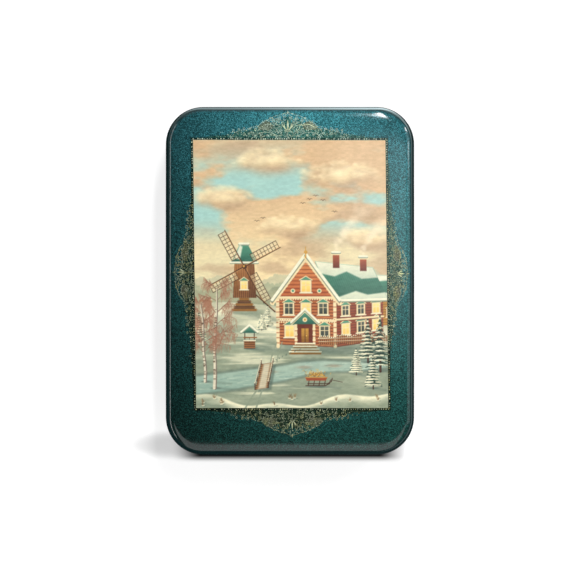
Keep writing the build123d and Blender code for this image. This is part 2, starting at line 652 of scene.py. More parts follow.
@dataclass
class OnLid:
    """Something that belongs to the lid, with the lid's form and the box's finishes."""

    form: LidForm
    finishes: Finishes

    @staticmethod
    def enter(piece: Thing, slot: Slot) -> None:
        """Gives a new piece its body, and reports it.

        Args:
            piece: The new piece.
            slot: Not used.
        """
        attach(piece, "lid")
        LOG.info("%s: %d faces", piece.name, len(piece.data.polygons))

    def sheet(
        self, name: str, flat: Array, faces: list[tuple[int, ...]], lift: float, finish: Material, slot: Slot
    ) -> None:
        """Makes a thin painted layer that follows the dome, with the dome's own normals.

        Args:
            name: The piece's name.
            flat: The layer's points, seen from above.
            faces: Corner indices of its faces.
            lift: Height over the lacquered ground.
            finish: The layer's finish.
            slot: A material slot name, passed on to enter.
        """
        places = self.form.lifted(flat, lift)
        ordered = []
        for face in faces:
            corners = flat[list(face)]
            following = np.roll(corners, -1, axis=0)
            area = np.sum(corners[:, 0] * following[:, 1] - following[:, 0] * corners[:, 1])
            ordered.append(face if area > 0 else face[::-1])
        mesh = bpy.data.meshes.new(name)
        mesh.from_pydata(places.tolist(), [], ordered)
        mesh.shade_smooth()
        normals = places - np.array([0.0, 0.0, self.form.top - self.form.radius])
        normals /= np.linalg.norm(normals, axis=1, keepdims=True)
        mesh.normals_split_custom_set_from_vertices(normals.tolist())
        mesh.materials.append(finish)
        piece = bpy.data.objects.new(name, mesh)
        bpy.context.scene.collection.objects.link(piece)
        self.enter(piece, slot)


@dataclass
class LidShell(OnLid):
    """The lid's plate: teal outside, red in the dish underneath."""

    corner_steps: int = 20
    roll_steps: int = 12
    cell: float = 3.4 * MM
    near: float = 1e-6
    upright: float = 0.2
    flat_below: float = -0.9
    red_rim: float = 0.5
    dish_rim: float = 0.9
    smooth_below: float = 40.0

    def build(self) -> None:
        """Models the plate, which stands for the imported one, and dresses it."""
        deselect_all()
        form = self.form
        bpy.ops.mesh.primitive_cube_add(size=1.0, location=(0, 0, (form.top + form.seat) / 2))
        shell = bpy.context.object
        shell.name = shell.data.name = "lid_plate"
        shell.scale = (2 * form.half_width, 2 * form.half_length, form.top - form.seat)
        bpy.ops.object.transform_apply(location=True, rotation=True, scale=True)
        self._round(shell.data)
        self._grid()
        self._dome(shell)
        for material in (self.finishes.flake, self.finishes.red):
            shell.data.materials.append(material)
        for face in shell.data.polygons:
            x, y, _ = face.center
            inward = face.normal.x * x + face.normal.y * y < 0.0
            under = face.normal.z < -self.upright and form.within(x, y, form.rim * self.red_rim)
            face.material_index = int(under or (abs(face.normal.z) < self.upright and inward))
        self.enter(shell, Slot.FLAKE)
        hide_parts("lid_top")

    @staticmethod
    def _select(mesh: bpy.types.Mesh, kind: str, chosen: Callable[[object], bool]) -> None:
        """Selects edges or faces, and enters edit mode.

        Args:
            mesh: The shell's mesh.
            kind: EDGE or FACE.
            chosen: A test of each edge or face.
        """
        bpy.ops.object.mode_set(mode="EDIT")
        bpy.ops.mesh.select_mode(type=kind)
        bpy.ops.mesh.select_all(action="DESELECT")
        bpy.ops.object.mode_set(mode="OBJECT")
        for item in mesh.edges if kind == "EDGE" else mesh.polygons:
            item.select = bool(chosen(item))
        bpy.ops.object.mode_set(mode="EDIT")

    @staticmethod
    def _bevel(radius: float, steps: int) -> None:
        """Rounds the selected edges, and leaves edit mode."""
        bpy.ops.mesh.bevel(offset=radius, segments=steps, profile=0.5, affect="EDGES", clamp_overlap=False)
        bpy.ops.object.mode_set(mode="OBJECT")

    def _round(self, mesh: bpy.types.Mesh) -> None:
        """Rounds the block's corners, sinks the dish and rolls the top edge.

        Args:
            mesh: The block's mesh.
        """
        form = self.form

        def heights(edge: bpy.types.MeshEdge) -> list[float]:
            """Heights of an edge's two ends."""
            return [mesh.vertices[i].co.z for i in edge.vertices]

        self._select(mesh, "EDGE", lambda edge: np.ptp(heights(edge)) > self.near)
        self._bevel(form.corner_radius, self.corner_steps)
        self._select(mesh, "FACE", lambda face: face.normal.z < self.flat_below)
        bpy.ops.mesh.inset(thickness=form.rim, depth=0.0)
        rise = form.top - form.plate - form.seat
        bpy.ops.mesh.extrude_region_move(TRANSFORM_OT_translate={"value": (0, 0, rise)})
        bpy.ops.object.mode_set(mode="OBJECT")
        self._select(mesh, "EDGE", lambda edge: min(heights(edge)) > form.top - self.near)
        self._bevel(form.roll_radius, self.roll_steps)

    def _grid(self) -> None:
        """Cuts the shell by planes across both ways, so that its faces can follow the dome."""
        form = self.form
        bpy.ops.object.mode_set(mode="EDIT")
        for axis, side in enumerate((form.half_width, form.half_length)):
            half = side - form.roll_radius
            count = math.ceil(2 * half / self.cell)
            for step in range(1, count):
                place, normal = [0.0, 0.0, 0.0], [0.0, 0.0, 0.0]
                place[axis] = -half + 2 * half * step / count
                normal[axis] = 1.0
                bpy.ops.mesh.select_all(action="SELECT")
                bpy.ops.mesh.bisect(plane_co=place, plane_no=normal)
        bpy.ops.mesh.select_all(action="SELECT")
        bpy.ops.mesh.remove_doubles(threshold=self.near)
        bpy.ops.mesh.normals_make_consistent(inside=False)
        bpy.ops.object.mode_set(mode="OBJECT")

    def _dome(self, shell: Thing) -> None:
        """Lowers the top and the dish to their domes and smooths the shading.

        Args:
            shell: The lid's plate.
        """
        form = self.form
        places = places_of(shell.data)
        dish_top = form.top - form.plate
        above = np.clip((places[:, 2] - form.seat) / (form.top - form.roll_radius - form.seat), 0.0, 1.0)
        inside = np.abs(places[:, 2] - dish_top) < 10 * self.near
        inside &= np.abs(places[:, 0]) < form.half_width - form.rim * self.dish_rim
        inside &= np.abs(places[:, 1]) < form.half_length - form.rim * self.dish_rim
        dish_drop = np.minimum(form.drop(places, form.plate), dish_top - form.seat)
        places[:, 2] -= np.where(inside, dish_drop, form.drop(places) * above)
        move_points(shell.data, places)
        deselect_all()
        shell.select_set(True)
        bpy.context.view_layer.objects.active = shell
        bpy.ops.object.shade_smooth_by_angle(angle=math.radians(self.smooth_below))


# Gold ornament


class Strokes:
    """Brush strokes for one painted piece, gathered on the lid's plan and then laid on its dome."""

    relief = 0.16
    tremor = 0.03
    slip = 0.05
    petal_profile = (0.18, 0.85, 1.0, 0.62, 0.08)
    dot_profile = (0.45, 1.0, 1.0, 0.45)
    dot_places = (-0.75, -0.25, 0.25, 0.75)
    scroll_end = 0.78

    def __init__(self, seed: int) -> None:
        """Starts with no strokes.

        Args:
            seed: Sets the unsteadiness of the hand.
        """
        self.hand = np.random.default_rng(seed)
        self.splines: list[tuple[Array, Array, bool]] = []

    def line(self, points: list[Point], width: float, tip: float = 0.35, closed: bool = False) -> None:
        """A stroke that swells in the middle and thins to its ends.

        Args:
            points: Where the brush goes, in millimetres.
            width: Its width in the middle.
            tip: Share of the width that is left at the ends.
            closed: True for a stroke that comes back to its start.
        """
        places = np.array(points, dtype=float)
        places += self.hand.normal(0.0, self.tremor, places.shape)
        along = np.linspace(0.0, 1.0, len(places))
        swell = np.ones(len(places)) if closed else tip + (1 - tip) * np.sin(np.pi * along) ** 0.7
        self.splines.append((places, swell * width / 2 * self.hand.uniform(0.85, 1.15), closed))

    def petal(self, base: Point, bend: Point, end: Point, width: float) -> None:
        """A teardrop that is laid with a full brush and lifted to a point.

        Args:
            base: Where the brush is set down.
            bend: The place that the stroke bends towards.
            end: Its point.
            width: Its greatest width.
        """
        profile = np.array(self.petal_profile) * width / 2
        share = np.linspace(0.0, 1.0, len(profile))[:, None]
        base, bend, end = np.array([base, bend, end])
        places = (1 - share) ** 2 * base + 2 * share * (1 - share) * bend + share**2 * end
        self.splines.append((places, profile, False))

    def dot(self, place: Point, radius: float) -> None:
        """A round touch of the brush.

        Args:
            place: Its middle, in millimetres.
            radius: Its radius.
        """
        spot = np.array(place) + self.hand.normal(0.0, self.slip, 2)
        places = spot + np.array([(far, 0) for far in self.dot_places]) * radius
        self.splines.append((places, np.array(self.dot_profile) * radius, False))

    def beads(self, points: list[Point], gap: float, radius: float) -> None:
        """A row of small touches along a path, as an unsteady dotted line.

        Args:
            points: The corners of the path.
            gap: Millimetres from touch to touch.
            radius: The usual radius of a touch.
        """
        corners = np.array(points, dtype=float)
        along = np.concatenate([[0.0], np.cumsum(np.linalg.norm(np.diff(corners, axis=0), axis=1))])
        for reach in np.arange(gap / 2, along[-1], gap):
            place = (np.interp(reach, along, corners[:, 0]), np.interp(reach, along, corners[:, 1]))
            self.dot(place, radius * self.hand.uniform(0.7, 1.25))

    def ring(self, place: Point, radius: float, width: float) -> None:
        """A small circle.

        Args:
            place: Its middle.
            radius: Its radius.
            width: Width of the stroke.
        """
        turn = np.linspace(0.0, 2 * np.pi, 9)[:-1] + self.hand.uniform(0, 1)
        points = [(place[0] + radius * math.cos(a), place[1] + radius * math.sin(a)) for a in turn]
        self.line(points, width, closed=True)

    def volute(self, place: Point, radius: float, start: float, turns: float, width: float) -> None:
        """A scroll that winds inwards and ends in an eye.

        Args:
            place: The scroll's middle.
            radius: Its outer radius.
            start: The angle in degrees that it starts at.
            turns: How often it goes round, with a minus sign for clockwise.
            width: Width of the stroke.
        """
        steps = max(6, int(abs(turns) * 8))
        points = []
        for share in np.linspace(0.0, 1.0, steps + 1):
            angle = math.radians(start) + 2 * math.pi * turns * share
            reach = radius * (1 - self.scroll_end * share)
            points.append((place[0] + reach * math.cos(angle), place[1] + reach * math.sin(angle)))
        self.line(points, width, tip=0.5)
        self.dot(place, width * 0.9)

    def lay(
        self, name: str, lid: OnLid, to_lid: Callable[[Array], Array], material: Material, lift: float
    ) -> None:
        """Makes the strokes a mesh that lies on the dome.

        Args:
            name: The piece's name.
            lid: What the strokes belong to.
            to_lid: Turns stroke places in millimetres into places on the lid's plan in metres.
            material: The piece's finish.
            lift: Height of the paint's middle over the ground.
        """
        deselect_all()
        bpy.ops.curve.primitive_nurbs_path_add(location=(0, 0, 0))
        piece = bpy.context.object
        piece.name = piece.data.name = name
        curve = piece.data
        curve.splines.clear()
        curve.dimensions = "3D"
        curve.bevel_depth = 1.0
        curve.bevel_resolution = 1
        curve.use_fill_caps = True
        for places, radii, closed in self.splines:
            spline = curve.splines.new("NURBS")
            spline.points.add(len(places) - 1)
            for point, (x, y), radius in zip(spline.points, to_lid(places), radii):
                point.co = (x, y, 0.0, 1.0)
                point.radius = radius * MM
            spline.use_cyclic_u = closed
            spline.order_u = 3
            spline.use_endpoint_u = not closed
            spline.resolution_u = 2
            spline.use_smooth = True
        bpy.ops.object.convert(target="MESH")
        piece = bpy.context.object
        places = places_of(piece.data)
        places[:, 2] = lid.form.lifted(places, lift)[:, 2] + places[:, 2] * self.relief
        move_points(piece.data, places)
        piece.data.materials.clear()
        piece.data.materials.append(material)
        lid.enter(piece, Slot.GOLD)


@dataclass(frozen=True)
class Field:
    """The picture's field on the lid, a little out of square as the painter set it, in millimetres."""

    top_left: Point = (-38.85, 56.45)
    top_right: Point = (38.25, 56.30)
    bottom_left: Point = (-37.60, -51.00)
    bottom_right: Point = (39.40, -51.00)
    width: float = 78.0
    height: float = 108.0

    def to_lid(self, s: Array, t: Array) -> Array:
        """Places of the field on the lid's plan.

        Args:
            s: Millimetres from the field's left side.
            t: Millimetres from its lower side.

        Returns:
            The places in metres.
        """
        across, up = (s / self.width)[..., None], (t / self.height)[..., None]
        lower = np.array(self.bottom_left) * (1 - across) + np.array(self.bottom_right) * across
        upper = np.array(self.top_left) * (1 - across) + np.array(self.top_right) * across
        return (lower * (1 - up) + upper * up) * MM

    def corners(self, out: float) -> Array:
        """Corners of the field, moved outwards, anticlockwise from the lower left."""
        places = np.array([self.bottom_left, self.bottom_right, self.top_right, self.top_left])
        return places + out * np.array([(-1, -1), (1, -1), (1, 1), (-1, 1)])


class Side(Enum):
    """The sides of the picture's field that a crest grows from."""

    TOP = "top"
    BOTTOM = "bottom"
    LEFT = "left"
    RIGHT = "right"


@dataclass
class Crest(OnLid):
    """One crest of filigree that stands on a side of the picture, drawn in a pattern's millimetres."""

    side: Side
    foot: Point
    half_width: float
    height: float
    seed: int
    pattern_half: float = 22.0
    pattern_height: float = 11.8
    bloom: float = 1.0
    fleur_at: float = 5.2
    fullness: float = 0.0
    lobe_drop: float = 1.0
    lobe_share: float = 0.45
    shoulder: Point = (9.0, 5.0)
    fine: float = 0.13
    pitch: float = 0.70
    reach_end: float = 34.0
    outline_reach: tuple[float, ...] = (0.0, 1.2, 3.0, 5.0, 8.0, 12.0, 16.0, 20.0, 22.0, 25.0, 34.0)
    outline_height: tuple[float, ...] = (11.4, 10.0, 9.6, 8.9, 7.4, 5.4, 4.4, 3.6, 2.8, 2.2, 0.9)

    @property
    def name(self) -> str:
        """Name that the crest's pieces start with."""
        return f"ornament_{self.side.value}"

    def to_lid(self, places: Array) -> Array:
        """Turns the pattern's places into places on the lid's plan.

        The middle of the pattern keeps its proportions, and its tails are drawn out to the crest's width.

        Args:
            places: Places along and out from the side, in the pattern's millimetres.

        Returns:
            Places in metres.
        """
        scale = self.height / self.pattern_height
        reach = np.abs(places[:, 0])
        drawn = self.half_width / self.pattern_half - scale
        along = places[:, 0] * (scale + drawn * reach / self.pattern_half)
        shoulder = np.exp(-(((reach - self.shoulder[0]) / self.shoulder[1]) ** 2))
        out = places[:, 1] * scale * (1 + self.fullness * shoulder)
        turned = {
            Side.TOP: (along, out),
            Side.BOTTOM: (along, -out),
            Side.LEFT: (-out, along),
            Side.RIGHT: (out, along),
        }[self.side]
        return (np.stack(turned, axis=-1) + np.array(self.foot)) * MM

    def build(self) -> None:
        """Paints the crest: its glaze, its leaves, its scrolls and heart, and its filigree."""
        self._glaze()
        self._lobes()
        lines, heart, filigree = Strokes(self.seed), Strokes(self.seed + 1), Strokes(self.seed + 3)
        self._fleur(heart, lines)
        for hand in (-1, 1):
            self._scrolls(heart, lines, hand)
            self._tail(lines, hand)
        self._filigree(filigree)
        gold = self.finishes.gold
        lines.lay(self.name, self, self.to_lid, gold, 0.016 * MM)
        heart.lay(f"{self.name}_heart", self, self.to_lid, self.finishes.bright_gold, 0.03 * MM)
        filigree.lay(f"{self.name}_filigree", self, self.to_lid, gold, 0.014 * MM)

    def _fleur(self, heart: Strokes, lines: Strokes) -> None:
        """The petals, the dotted pointed arch round them and the starred finial.

        Args:
            heart: Takes the bright petals.
            lines: Takes the fine lines.
        """
        size, middle = self.bloom, self.fleur_at

        def spot(u: float, v: float) -> Point:
            """A place of the flower, drawn in towards its middle."""
            return u * size, middle + (v - 5.2) * size

        heart.petal(spot(0, 3.5), spot(0.05, 5.4), spot(0, 7.6), 0.84 * size)
        lines.line([(0, 0.5), (0.05, 1.8), spot(0, 3.4)], self.fine * 1.3, tip=0.8)
        for hand in (-1, 1):
            heart.petal(spot(0.15 * hand, 3.5), spot(1.65 * hand, 3.8), spot(1.45 * hand, 6.4), 0.54 * size)
            heart.petal(spot(1.2 * hand, 4.4), spot(2.0 * hand, 4.8), spot(2.05 * hand, 6.0), 0.32 * size)
            heart.petal(spot(0.2 * hand, 3.3), spot(0.8 * hand, 2.8), spot(1.4 * hand, 3.4), 0.30 * size)
            for share in np.linspace(0.0, 1.0, 12):
                reach = 2.15 * (1 - share**2.2) ** 0.8
                lines.dot((reach * hand, middle + 0.1 + (10.1 - middle) * share), 0.13)
            lines.line([(0, 10.45), (0.9 * hand, 10.4), (1.9 * hand, 10.05)], self.fine * 1.2)
        lines.petal((0, 9.8), (0, 10.6), (0, 11.5), 0.34)

    def _scrolls(self, heart: Strokes, lines: Strokes, hand: int) -> None:
        """The contour, the golden wave and the scrolls of one half.

        Args:
            heart: Takes the wave where it is bright.
            lines: Takes the fine lines.
            hand: 1 for the right half, -1 for the left.
        """

        def side(*points: Point) -> list[Point]:
            """The points on this hand's half."""
            return [(u * hand, v) for u, v in points]

        fine = self.fine
        lines.beads(side((1.6, 10.0), (3.0, 9.6), (5.0, 9.1), (7.6, 7.9), (8.8, 7.1)), 0.62, 0.19)
        wave = side((2.9, 5.0), (4.4, 5.8), (6.0, 5.4), (8.0, 6.0), (9.6, 5.4), (11.0, 4.3), (12.5, 4.9))
        if hand > 0 and self.side is Side.TOP:
            heart.line(wave, fine * 1.9)
        else:
            lines.line(wave, fine * 1.1)
        lines.beads(side((5.2, 5.8), (6.4, 7.3), (8.5, 7.5), (10.4, 6.6), (12.2, 4.8)), 0.55, 0.17)
        lines.beads(side((12.6, 5.0), (14.6, 4.6), (16.6, 3.4), (18.8, 3.5), (21.0, 2.2)), 0.75, 0.15)
        lines.line(side((1.4, 1.4), (3.6, 0.9), (6.0, 2.2), (9.0, 2.9), (11.6, 2.1), (14.0, 1.2)), fine)
        scrolls = (
            (3.4, 8.2, 0.80, 100, -1.4), (5.7, 7.7, 0.70, 60, -1.3), (3.6, 3.2, 0.85, 200, 1.3),
            (10.6, 1.9, 0.80, 20, 1.2), (8.2, 1.3, 0.60, 0, 1.1), (14.4, 2.4, 0.70, 150, 1.2),
            (17.2, 1.9, 0.60, 40, -1.1), (9.7, 6.8, 0.55, 80, -1.1), (3.6, 6.7, 0.55, 0, 1.1),
        )
        for u, v, radius, start, turns in scrolls:
            angle = start if hand > 0 else 180 - start
            lines.volute((u * hand, v), radius, angle, turns * hand, fine)
        rings = (
            (7.0, 8.3, 0.36), (12.9, 3.9, 0.46), (15.1, 4.0, 0.42), (17.5, 4.1, 0.46),
            (19.6, 3.8, 0.38), (21.8, 3.5, 0.34), (4.6, 1.2, 0.4), (12.6, 1.0, 0.4),
        )
        for u, v, radius in rings:
            lines.ring((u * hand, v), radius, fine)

    def _tail(self, lines: Strokes, hand: int) -> None:
        """The sparse beads that run on past the crest along the picture.

        Args:
            lines: Takes the beads.
            hand: 1 for the right half, -1 for the left.
        """
        for u in np.arange(self.pattern_half, 33.5, 0.8):
            for v in (0.9, 1.7, 2.6):
                if lines.hand.uniform() < 0.80 - (u - self.pattern_half) * 0.06 - v * 0.12:
                    place = ((u + lines.hand.uniform(-0.3, 0.3)) * hand, v)
                    lines.dot(place, lines.hand.uniform(0.09, 0.17))

    def _outline(self, u: float) -> float:
        """Height of the crest's outline at a distance from its middle."""
        return float(np.interp(abs(u), self.outline_reach, self.outline_height))

    def _filigree(self, lines: Strokes) -> None:
        """Fills the crest with close dots, commas, curls and rings, as a fine brush lays them.

        Args:
            lines: Takes the strokes.
        """
        chance = lines.hand
        for u0 in np.arange(-24.0, 24.0, self.pitch):
            for v0 in np.arange(0.35, 11.4, self.pitch):
                u, v = (u0 + chance.uniform(-0.27, 0.27), v0 + chance.uniform(-0.27, 0.27))
                across, up = abs(u) / self.bloom, (v - self.fleur_at) / self.bloom
                in_fleur = across < 1.8 and -1.9 < up < 3.0 - across
                in_lobe = 5.9 < abs(u) < 12.0 and 3.4 < v / self.lobe_drop < 6.9
                keep = self.lobe_share if in_lobe else 0.80 - 0.012 * abs(u)
                if v < 2.4:
                    keep *= 0.72
                if in_fleur or v > self._outline(u) * chance.uniform(0.80, 1.05) or chance.uniform() > keep:
                    continue
                kind, turn = chance.uniform(), chance.uniform(0, 2 * math.pi)
                if kind < 0.56:
                    lines.dot((u, v), chance.uniform(0.13, 0.25))
                elif kind < 0.86:
                    far = chance.uniform(0.5, 0.8)
                    bend = (u + 0.6 * far * math.cos(turn + 0.8), v + 0.6 * far * math.sin(turn + 0.8))
                    lines.petal((u, v), bend, (u + far * math.cos(turn), v + far * math.sin(turn)), 0.24)
                else:
                    lines.ring((u, v), chance.uniform(0.24, 0.34), 0.10)

    def _glaze(self) -> None:
        """An olive glaze under the whole crest, with an uneven edge."""
        hand = np.random.default_rng(self.seed + 5)
        reach = np.arange(-self.reach_end, self.reach_end + 0.1, 0.4)
        rise = np.array([self._outline(u) for u in reach]) * hand.uniform(0.55, 0.96, reach.size)
        rows = np.linspace(0.0, 1.0, 7)
        flat = np.array([(u, v * row) for row in rows for u, v in zip(reach, rise)])
        count = reach.size
        starts = [row * count + i for row in range(len(rows) - 1) for i in range(count - 1)]
        faces = [(i, i + 1, count + i + 1, count + i) for i in starts]
        name, glaze = f"{self.name}_glaze", self.finishes.glaze
        self.sheet(name, self.to_lid(flat), faces, 0.004 * MM, glaze, Slot.GOLD)

    def _lobes(self) -> None:
        """The two shaded leaves with their ribs and beaded rims."""
        rim = (
            (6.2, 4.2), (5.8, 5.3), (6.6, 6.3), (7.6, 7.0), (8.7, 7.1), (9.8, 6.7), (10.8, 5.9),
            (11.8, 5.0), (12.0, 4.0), (11.0, 3.5), (9.6, 3.7), (8.2, 3.3), (7.0, 3.7),
        )
        ribs = ((6.4, 5.8), (7.7, 6.7), (9.4, 6.6), (10.9, 5.5), (11.6, 4.3))
        root, drop = 8.4, self.lobe_drop
        lines = Strokes(self.seed + 2)
        for hand, letter in ((-1, "a"), (1, "b")):
            leaf = [(u * hand, v * drop) for u, v in rim]
            flat, face = self.to_lid(np.array(leaf)), tuple(range(len(rim)))
            name = f"{self.name}_leaf_{letter}"
            self.sheet(name, flat, [face], 0.010 * MM, self.finishes.wash, Slot.GOLD)
            for place in leaf:
                lines.dot(place, lines.hand.uniform(0.12, 0.20))
            for u, v in ribs:
                low, high = 3.8 * drop, v * drop
                bend = ((root + (u - root) * 0.6) * hand, low + (high - low) * 0.4)
                lines.line([(root * hand, low), bend, (u * hand, high)], self.fine * 0.8)
        lines.lay(f"{self.name}_leaf_ribs", self, self.to_lid, self.finishes.gold, 0.02 * MM)


@dataclass
class EdgeLine(OnLid):
    """The fine toothed gold line round the picture, over a dark line that sets it off."""

    area: Field = Field()
    pitch: float = 0.92
    width: float = 0.05
    inner: float = 0.05
    reach: float = 0.52
    shade_width: float = 1.05
    shade_steps: int = 24
    skipped: float = 0.16
    seed: int = 71

    def build(self) -> None:
        """Paints the line, its teeth and its shade."""
        strokes = Strokes(self.seed)
        inner, outer = self.area.corners(self.inner), self.area.corners(self.reach)
        corners = (inner, np.roll(inner, -1, axis=0), outer, np.roll(outer, -1, axis=0))
        for start, end, low, high in zip(*corners):
            count = int(np.linalg.norm(end - start) / self.pitch)
            steps = np.linspace(0.0, 1.0, count + 1)
            points = [start + (end - start) * share for share in steps[::3]]
            strokes.line(points + [end], self.width, tip=0.9)
            for share in steps[:-1]:
                if strokes.hand.uniform() < self.skipped:
                    continue
                place = low + (high - low) * (share + 0.5 / count)
                strokes.dot(place, strokes.hand.uniform(0.16, 0.34))
        strokes.lay("gold_edge_line", self, lambda places: places * MM, self.finishes.gold, 0.018 * MM)
        self._shade()

    def _shade(self) -> None:
        """The dark line under the gold one."""
        ring = []
        for out in (-self.inner, self.shade_width):
            corners = self.area.corners(out)
            for start, end in zip(corners, np.roll(corners, -1, axis=0)):
                ring += [start + (end - start) * step / self.shade_steps for step in range(self.shade_steps)]
        count = 4 * self.shade_steps
        faces = [(i, count + i, count + (i + 1) % count, (i + 1) % count) for i in range(count)]
        self.sheet("edge_shade", np.array(ring) * MM, faces, 0.006 * MM, self.finishes.shade, Slot.FLAKE)


# The painted view


def between(start: Point, end: Point, share: float) -> Point:
    """The place at a share of the way from one point to another."""
    return start[0] + (end[0] - start[0]) * share, start[1] + (end[1] - start[1]) * share


def moved(points: list[Point], s: float, t: float) -> list[Point]:
    """The points, all moved by the same distance."""
    return [(a + s, b + t) for a, b in points]


def oblong(low: Point, high: Point) -> list[Point]:
    """Corners of an upright oblong, anticlockwise from the lower left."""
    return [low, (high[0], low[1]), high, (low[0], high[1])]


class Canvas:
    """A field of paint, measured in millimetres from its lower left corner, in screen colours."""

    margin = 0.5
    whole = (slice(None), slice(None))

    def __init__(self, width: float, height: float, cell: float, seed: int) -> None:
        """Starts a blank field.

        Args:
            width: Width of the field.
            height: Height of the field.
            cell: Distance between two touches of paint.
            seed: Sets the brush's chance.
        """
        self.columns = round(width / cell) + 1
        self.rows = round(height / cell) + 1
        self.s = np.linspace(0.0, width, self.columns)
        self.t = np.linspace(0.0, height, self.rows)
        self.cell = cell
        self.paint = np.zeros((self.rows, self.columns, 3))
        self.origin: Point = (0.0, 0.0)
        self.size = 1.0
        self.chance = np.random.default_rng(seed)

    def cloud(self, across: float, up: float, octaves: int) -> Array:
        """Soft noise over the whole field.

        Args:
            across: Width of its largest forms.
            up: Height of its largest forms.
            octaves: How many finer layers it has.

        Returns:
            Values from about 0 to 1.
        """
        total, weight = np.zeros((self.rows, self.columns)), 0.0
        for octave in range(octaves):
            column, row = self.s / (across / 2**octave), self.t / (up / 2**octave)
            lattice = self.chance.random((int(row[-1]) + 3, int(column[-1]) + 3))
            left, low = column.astype(int), row.astype(int)
            a, b = smoothstep(0.0, 1.0, column - left)[None, :], smoothstep(0.0, 1.0, row - low)[:, None]
            lower = lattice[np.ix_(low, left)] * (1 - a) + lattice[np.ix_(low, left + 1)] * a
            upper = lattice[np.ix_(low + 1, left)] * (1 - a) + lattice[np.ix_(low + 1, left + 1)] * a
            total += 0.5**octave * (lower * (1 - b) + upper * b)
            weight += 0.5**octave
        return total / weight

    def stand(self, origin: Point = (0.0, 0.0), size: float = 1.0) -> None:
        """Moves the place that all touches are measured from, and sets their scale.

        Args:
            origin: The new place, from the field's corner.
            size: The new scale.
        """
        self.origin = origin
        self.size = size

    def _set(self, points: list[Point]) -> Array:
        """Points as places on the field."""
        return np.array(points, dtype=float) * self.size + np.array(self.origin)

    def _part(self, low: Point, high: Point) -> tuple[tuple[slice, slice], Array, Array]:
        """The part of the field between two corners, with a margin.

        Args:
            low: Its lower left corner.
            high: Its upper right corner.

        Returns:
            Its slices of rows and columns, its places across and its places up.
        """
        first, last = np.searchsorted(self.s, (low[0] - self.margin, high[0] + self.margin))
        bottom, top = np.searchsorted(self.t, (low[1] - self.margin, high[1] + self.margin))
        return (slice(bottom, top), slice(first, last)), self.s[None, first:last], self.t[bottom:top, None]

    @staticmethod
    def _beside(s: Array, t: Array, start: Point, end: Point) -> tuple[Array, Array]:
        """Where places lie beside a straight stretch.

        Args:
            s: The places across.
            t: The places up.
            start: The stretch's start.
            end: Its end.

        Returns:
            The nearest share of the stretch, and the square of the distance to it.
        """
        ds, dt = end[0] - start[0], end[1] - start[1]
        length = max(ds * ds + dt * dt, 1e-9)
        along = np.clip(((s - start[0]) * ds + (t - start[1]) * dt) / length, 0, 1)
        return along, (s - start[0] - along * ds) ** 2 + (t - start[1] - along * dt) ** 2

    def cover(self, part: tuple[slice, slice], share: Array, colour: object) -> None:
        """Lays a colour over part of the field.

        Args:
            part: Which part.
            share: How much of it shows at each place.
            colour: One colour, or one for each place.
        """
        old = self.paint[part]
        self.paint[part] = old + (np.asarray(colour, dtype=float) - old) * np.clip(share, 0, 1)[..., None]

    def polygon(
        self, points: list[Point], colour: Colour, share: float = 1.0, soft: float = 0.14,
        upper: Colour | None = None,
    ) -> None:
        """A filled shape with clean edges.

        Args:
            points: Its corners.
            colour: Its colour, or its colour at the foot.
            share: How well it covers.
            soft: Softness of its edge.
            upper: Its colour at the top, where it is shaded.
        """
        corners = self._set(points)
        low, high = corners.min(axis=0), corners.max(axis=0)
        part, s, t = self._part(low, high)
        inside = np.zeros((t.size, s.size), dtype=bool)
        nearest = np.full(inside.shape, np.inf)
        for (s0, t0), (s1, t1) in zip(corners, np.roll(corners, -1, axis=0)):
            nearest = np.minimum(nearest, self._beside(s, t, (s0, t0), (s1, t1))[1])
            if t0 != t1:
                inside ^= ((t0 > t) != (t1 > t)) & (s < (s1 - s0) * (t - t0) / (t1 - t0) + s0)
        distance = np.sqrt(nearest) * np.where(inside, 1.0, -1.0)
        fill = np.array(colour, dtype=float)
        if upper is not None:
            rise = ((t - low[1]) / max(high[1] - low[1], self.cell))[..., None]
            fill = fill + (np.array(upper, dtype=float) - fill) * np.clip(rise, 0, 1)
        self.cover(part, np.clip(distance / (2 * soft) + 0.5, 0, 1) * share, fill)

    def line(
        self, points: list[Point], width: float, colour: Colour, share: float = 1.0, end: float | None = None
    ) -> None:
        """A brush line.

        Args:
            points: Where it goes.
            width: Its width at the start.
            colour: Its colour.
            share: How well it covers.
            end: Its width at the end.
        """
        end = (width if end is None else end) * self.size
        width = width * self.size
        reach = max(width, end)
        places = self._set(points)
        for index, (first, second) in enumerate(zip(places[:-1], places[1:])):
            part, s, t = self._part(np.minimum(first, second) - reach, np.maximum(first, second) + reach)
            along, squared = self._beside(s, t, first, second)
            breadth = width + (end - width) * (index + along) / (len(points) - 1)
            fit = np.minimum(1.0, breadth / self.cell)
            edge = (np.maximum(breadth, self.cell) / 2 - np.sqrt(squared)) / self.cell
            self.cover(part, np.clip(edge + 0.5, 0, 1) * fit * share, colour)

    def puff(
        self, place: Point, across: float, up: float, colour: Colour, share: float = 1.0, soft: float = 0.5
    ) -> None:
        """A soft-edged round touch.

        Args:
            place: Its middle.
            across: Half its width.
            up: Half its height.
            colour: Its colour.
            share: How well it covers.
            soft: Share of its radius that is soft.
        """
        reach = np.array((across, up)) * self.size
        middle = self._set([place])[0]
        part, s, t = self._part(middle - reach, middle + reach)
        distance = np.sqrt(((s - middle[0]) / reach[0]) ** 2 + ((t - middle[1]) / reach[1]) ** 2)
        self.cover(part, smoothstep(1.0, 1.0 - soft, distance) * share, colour)

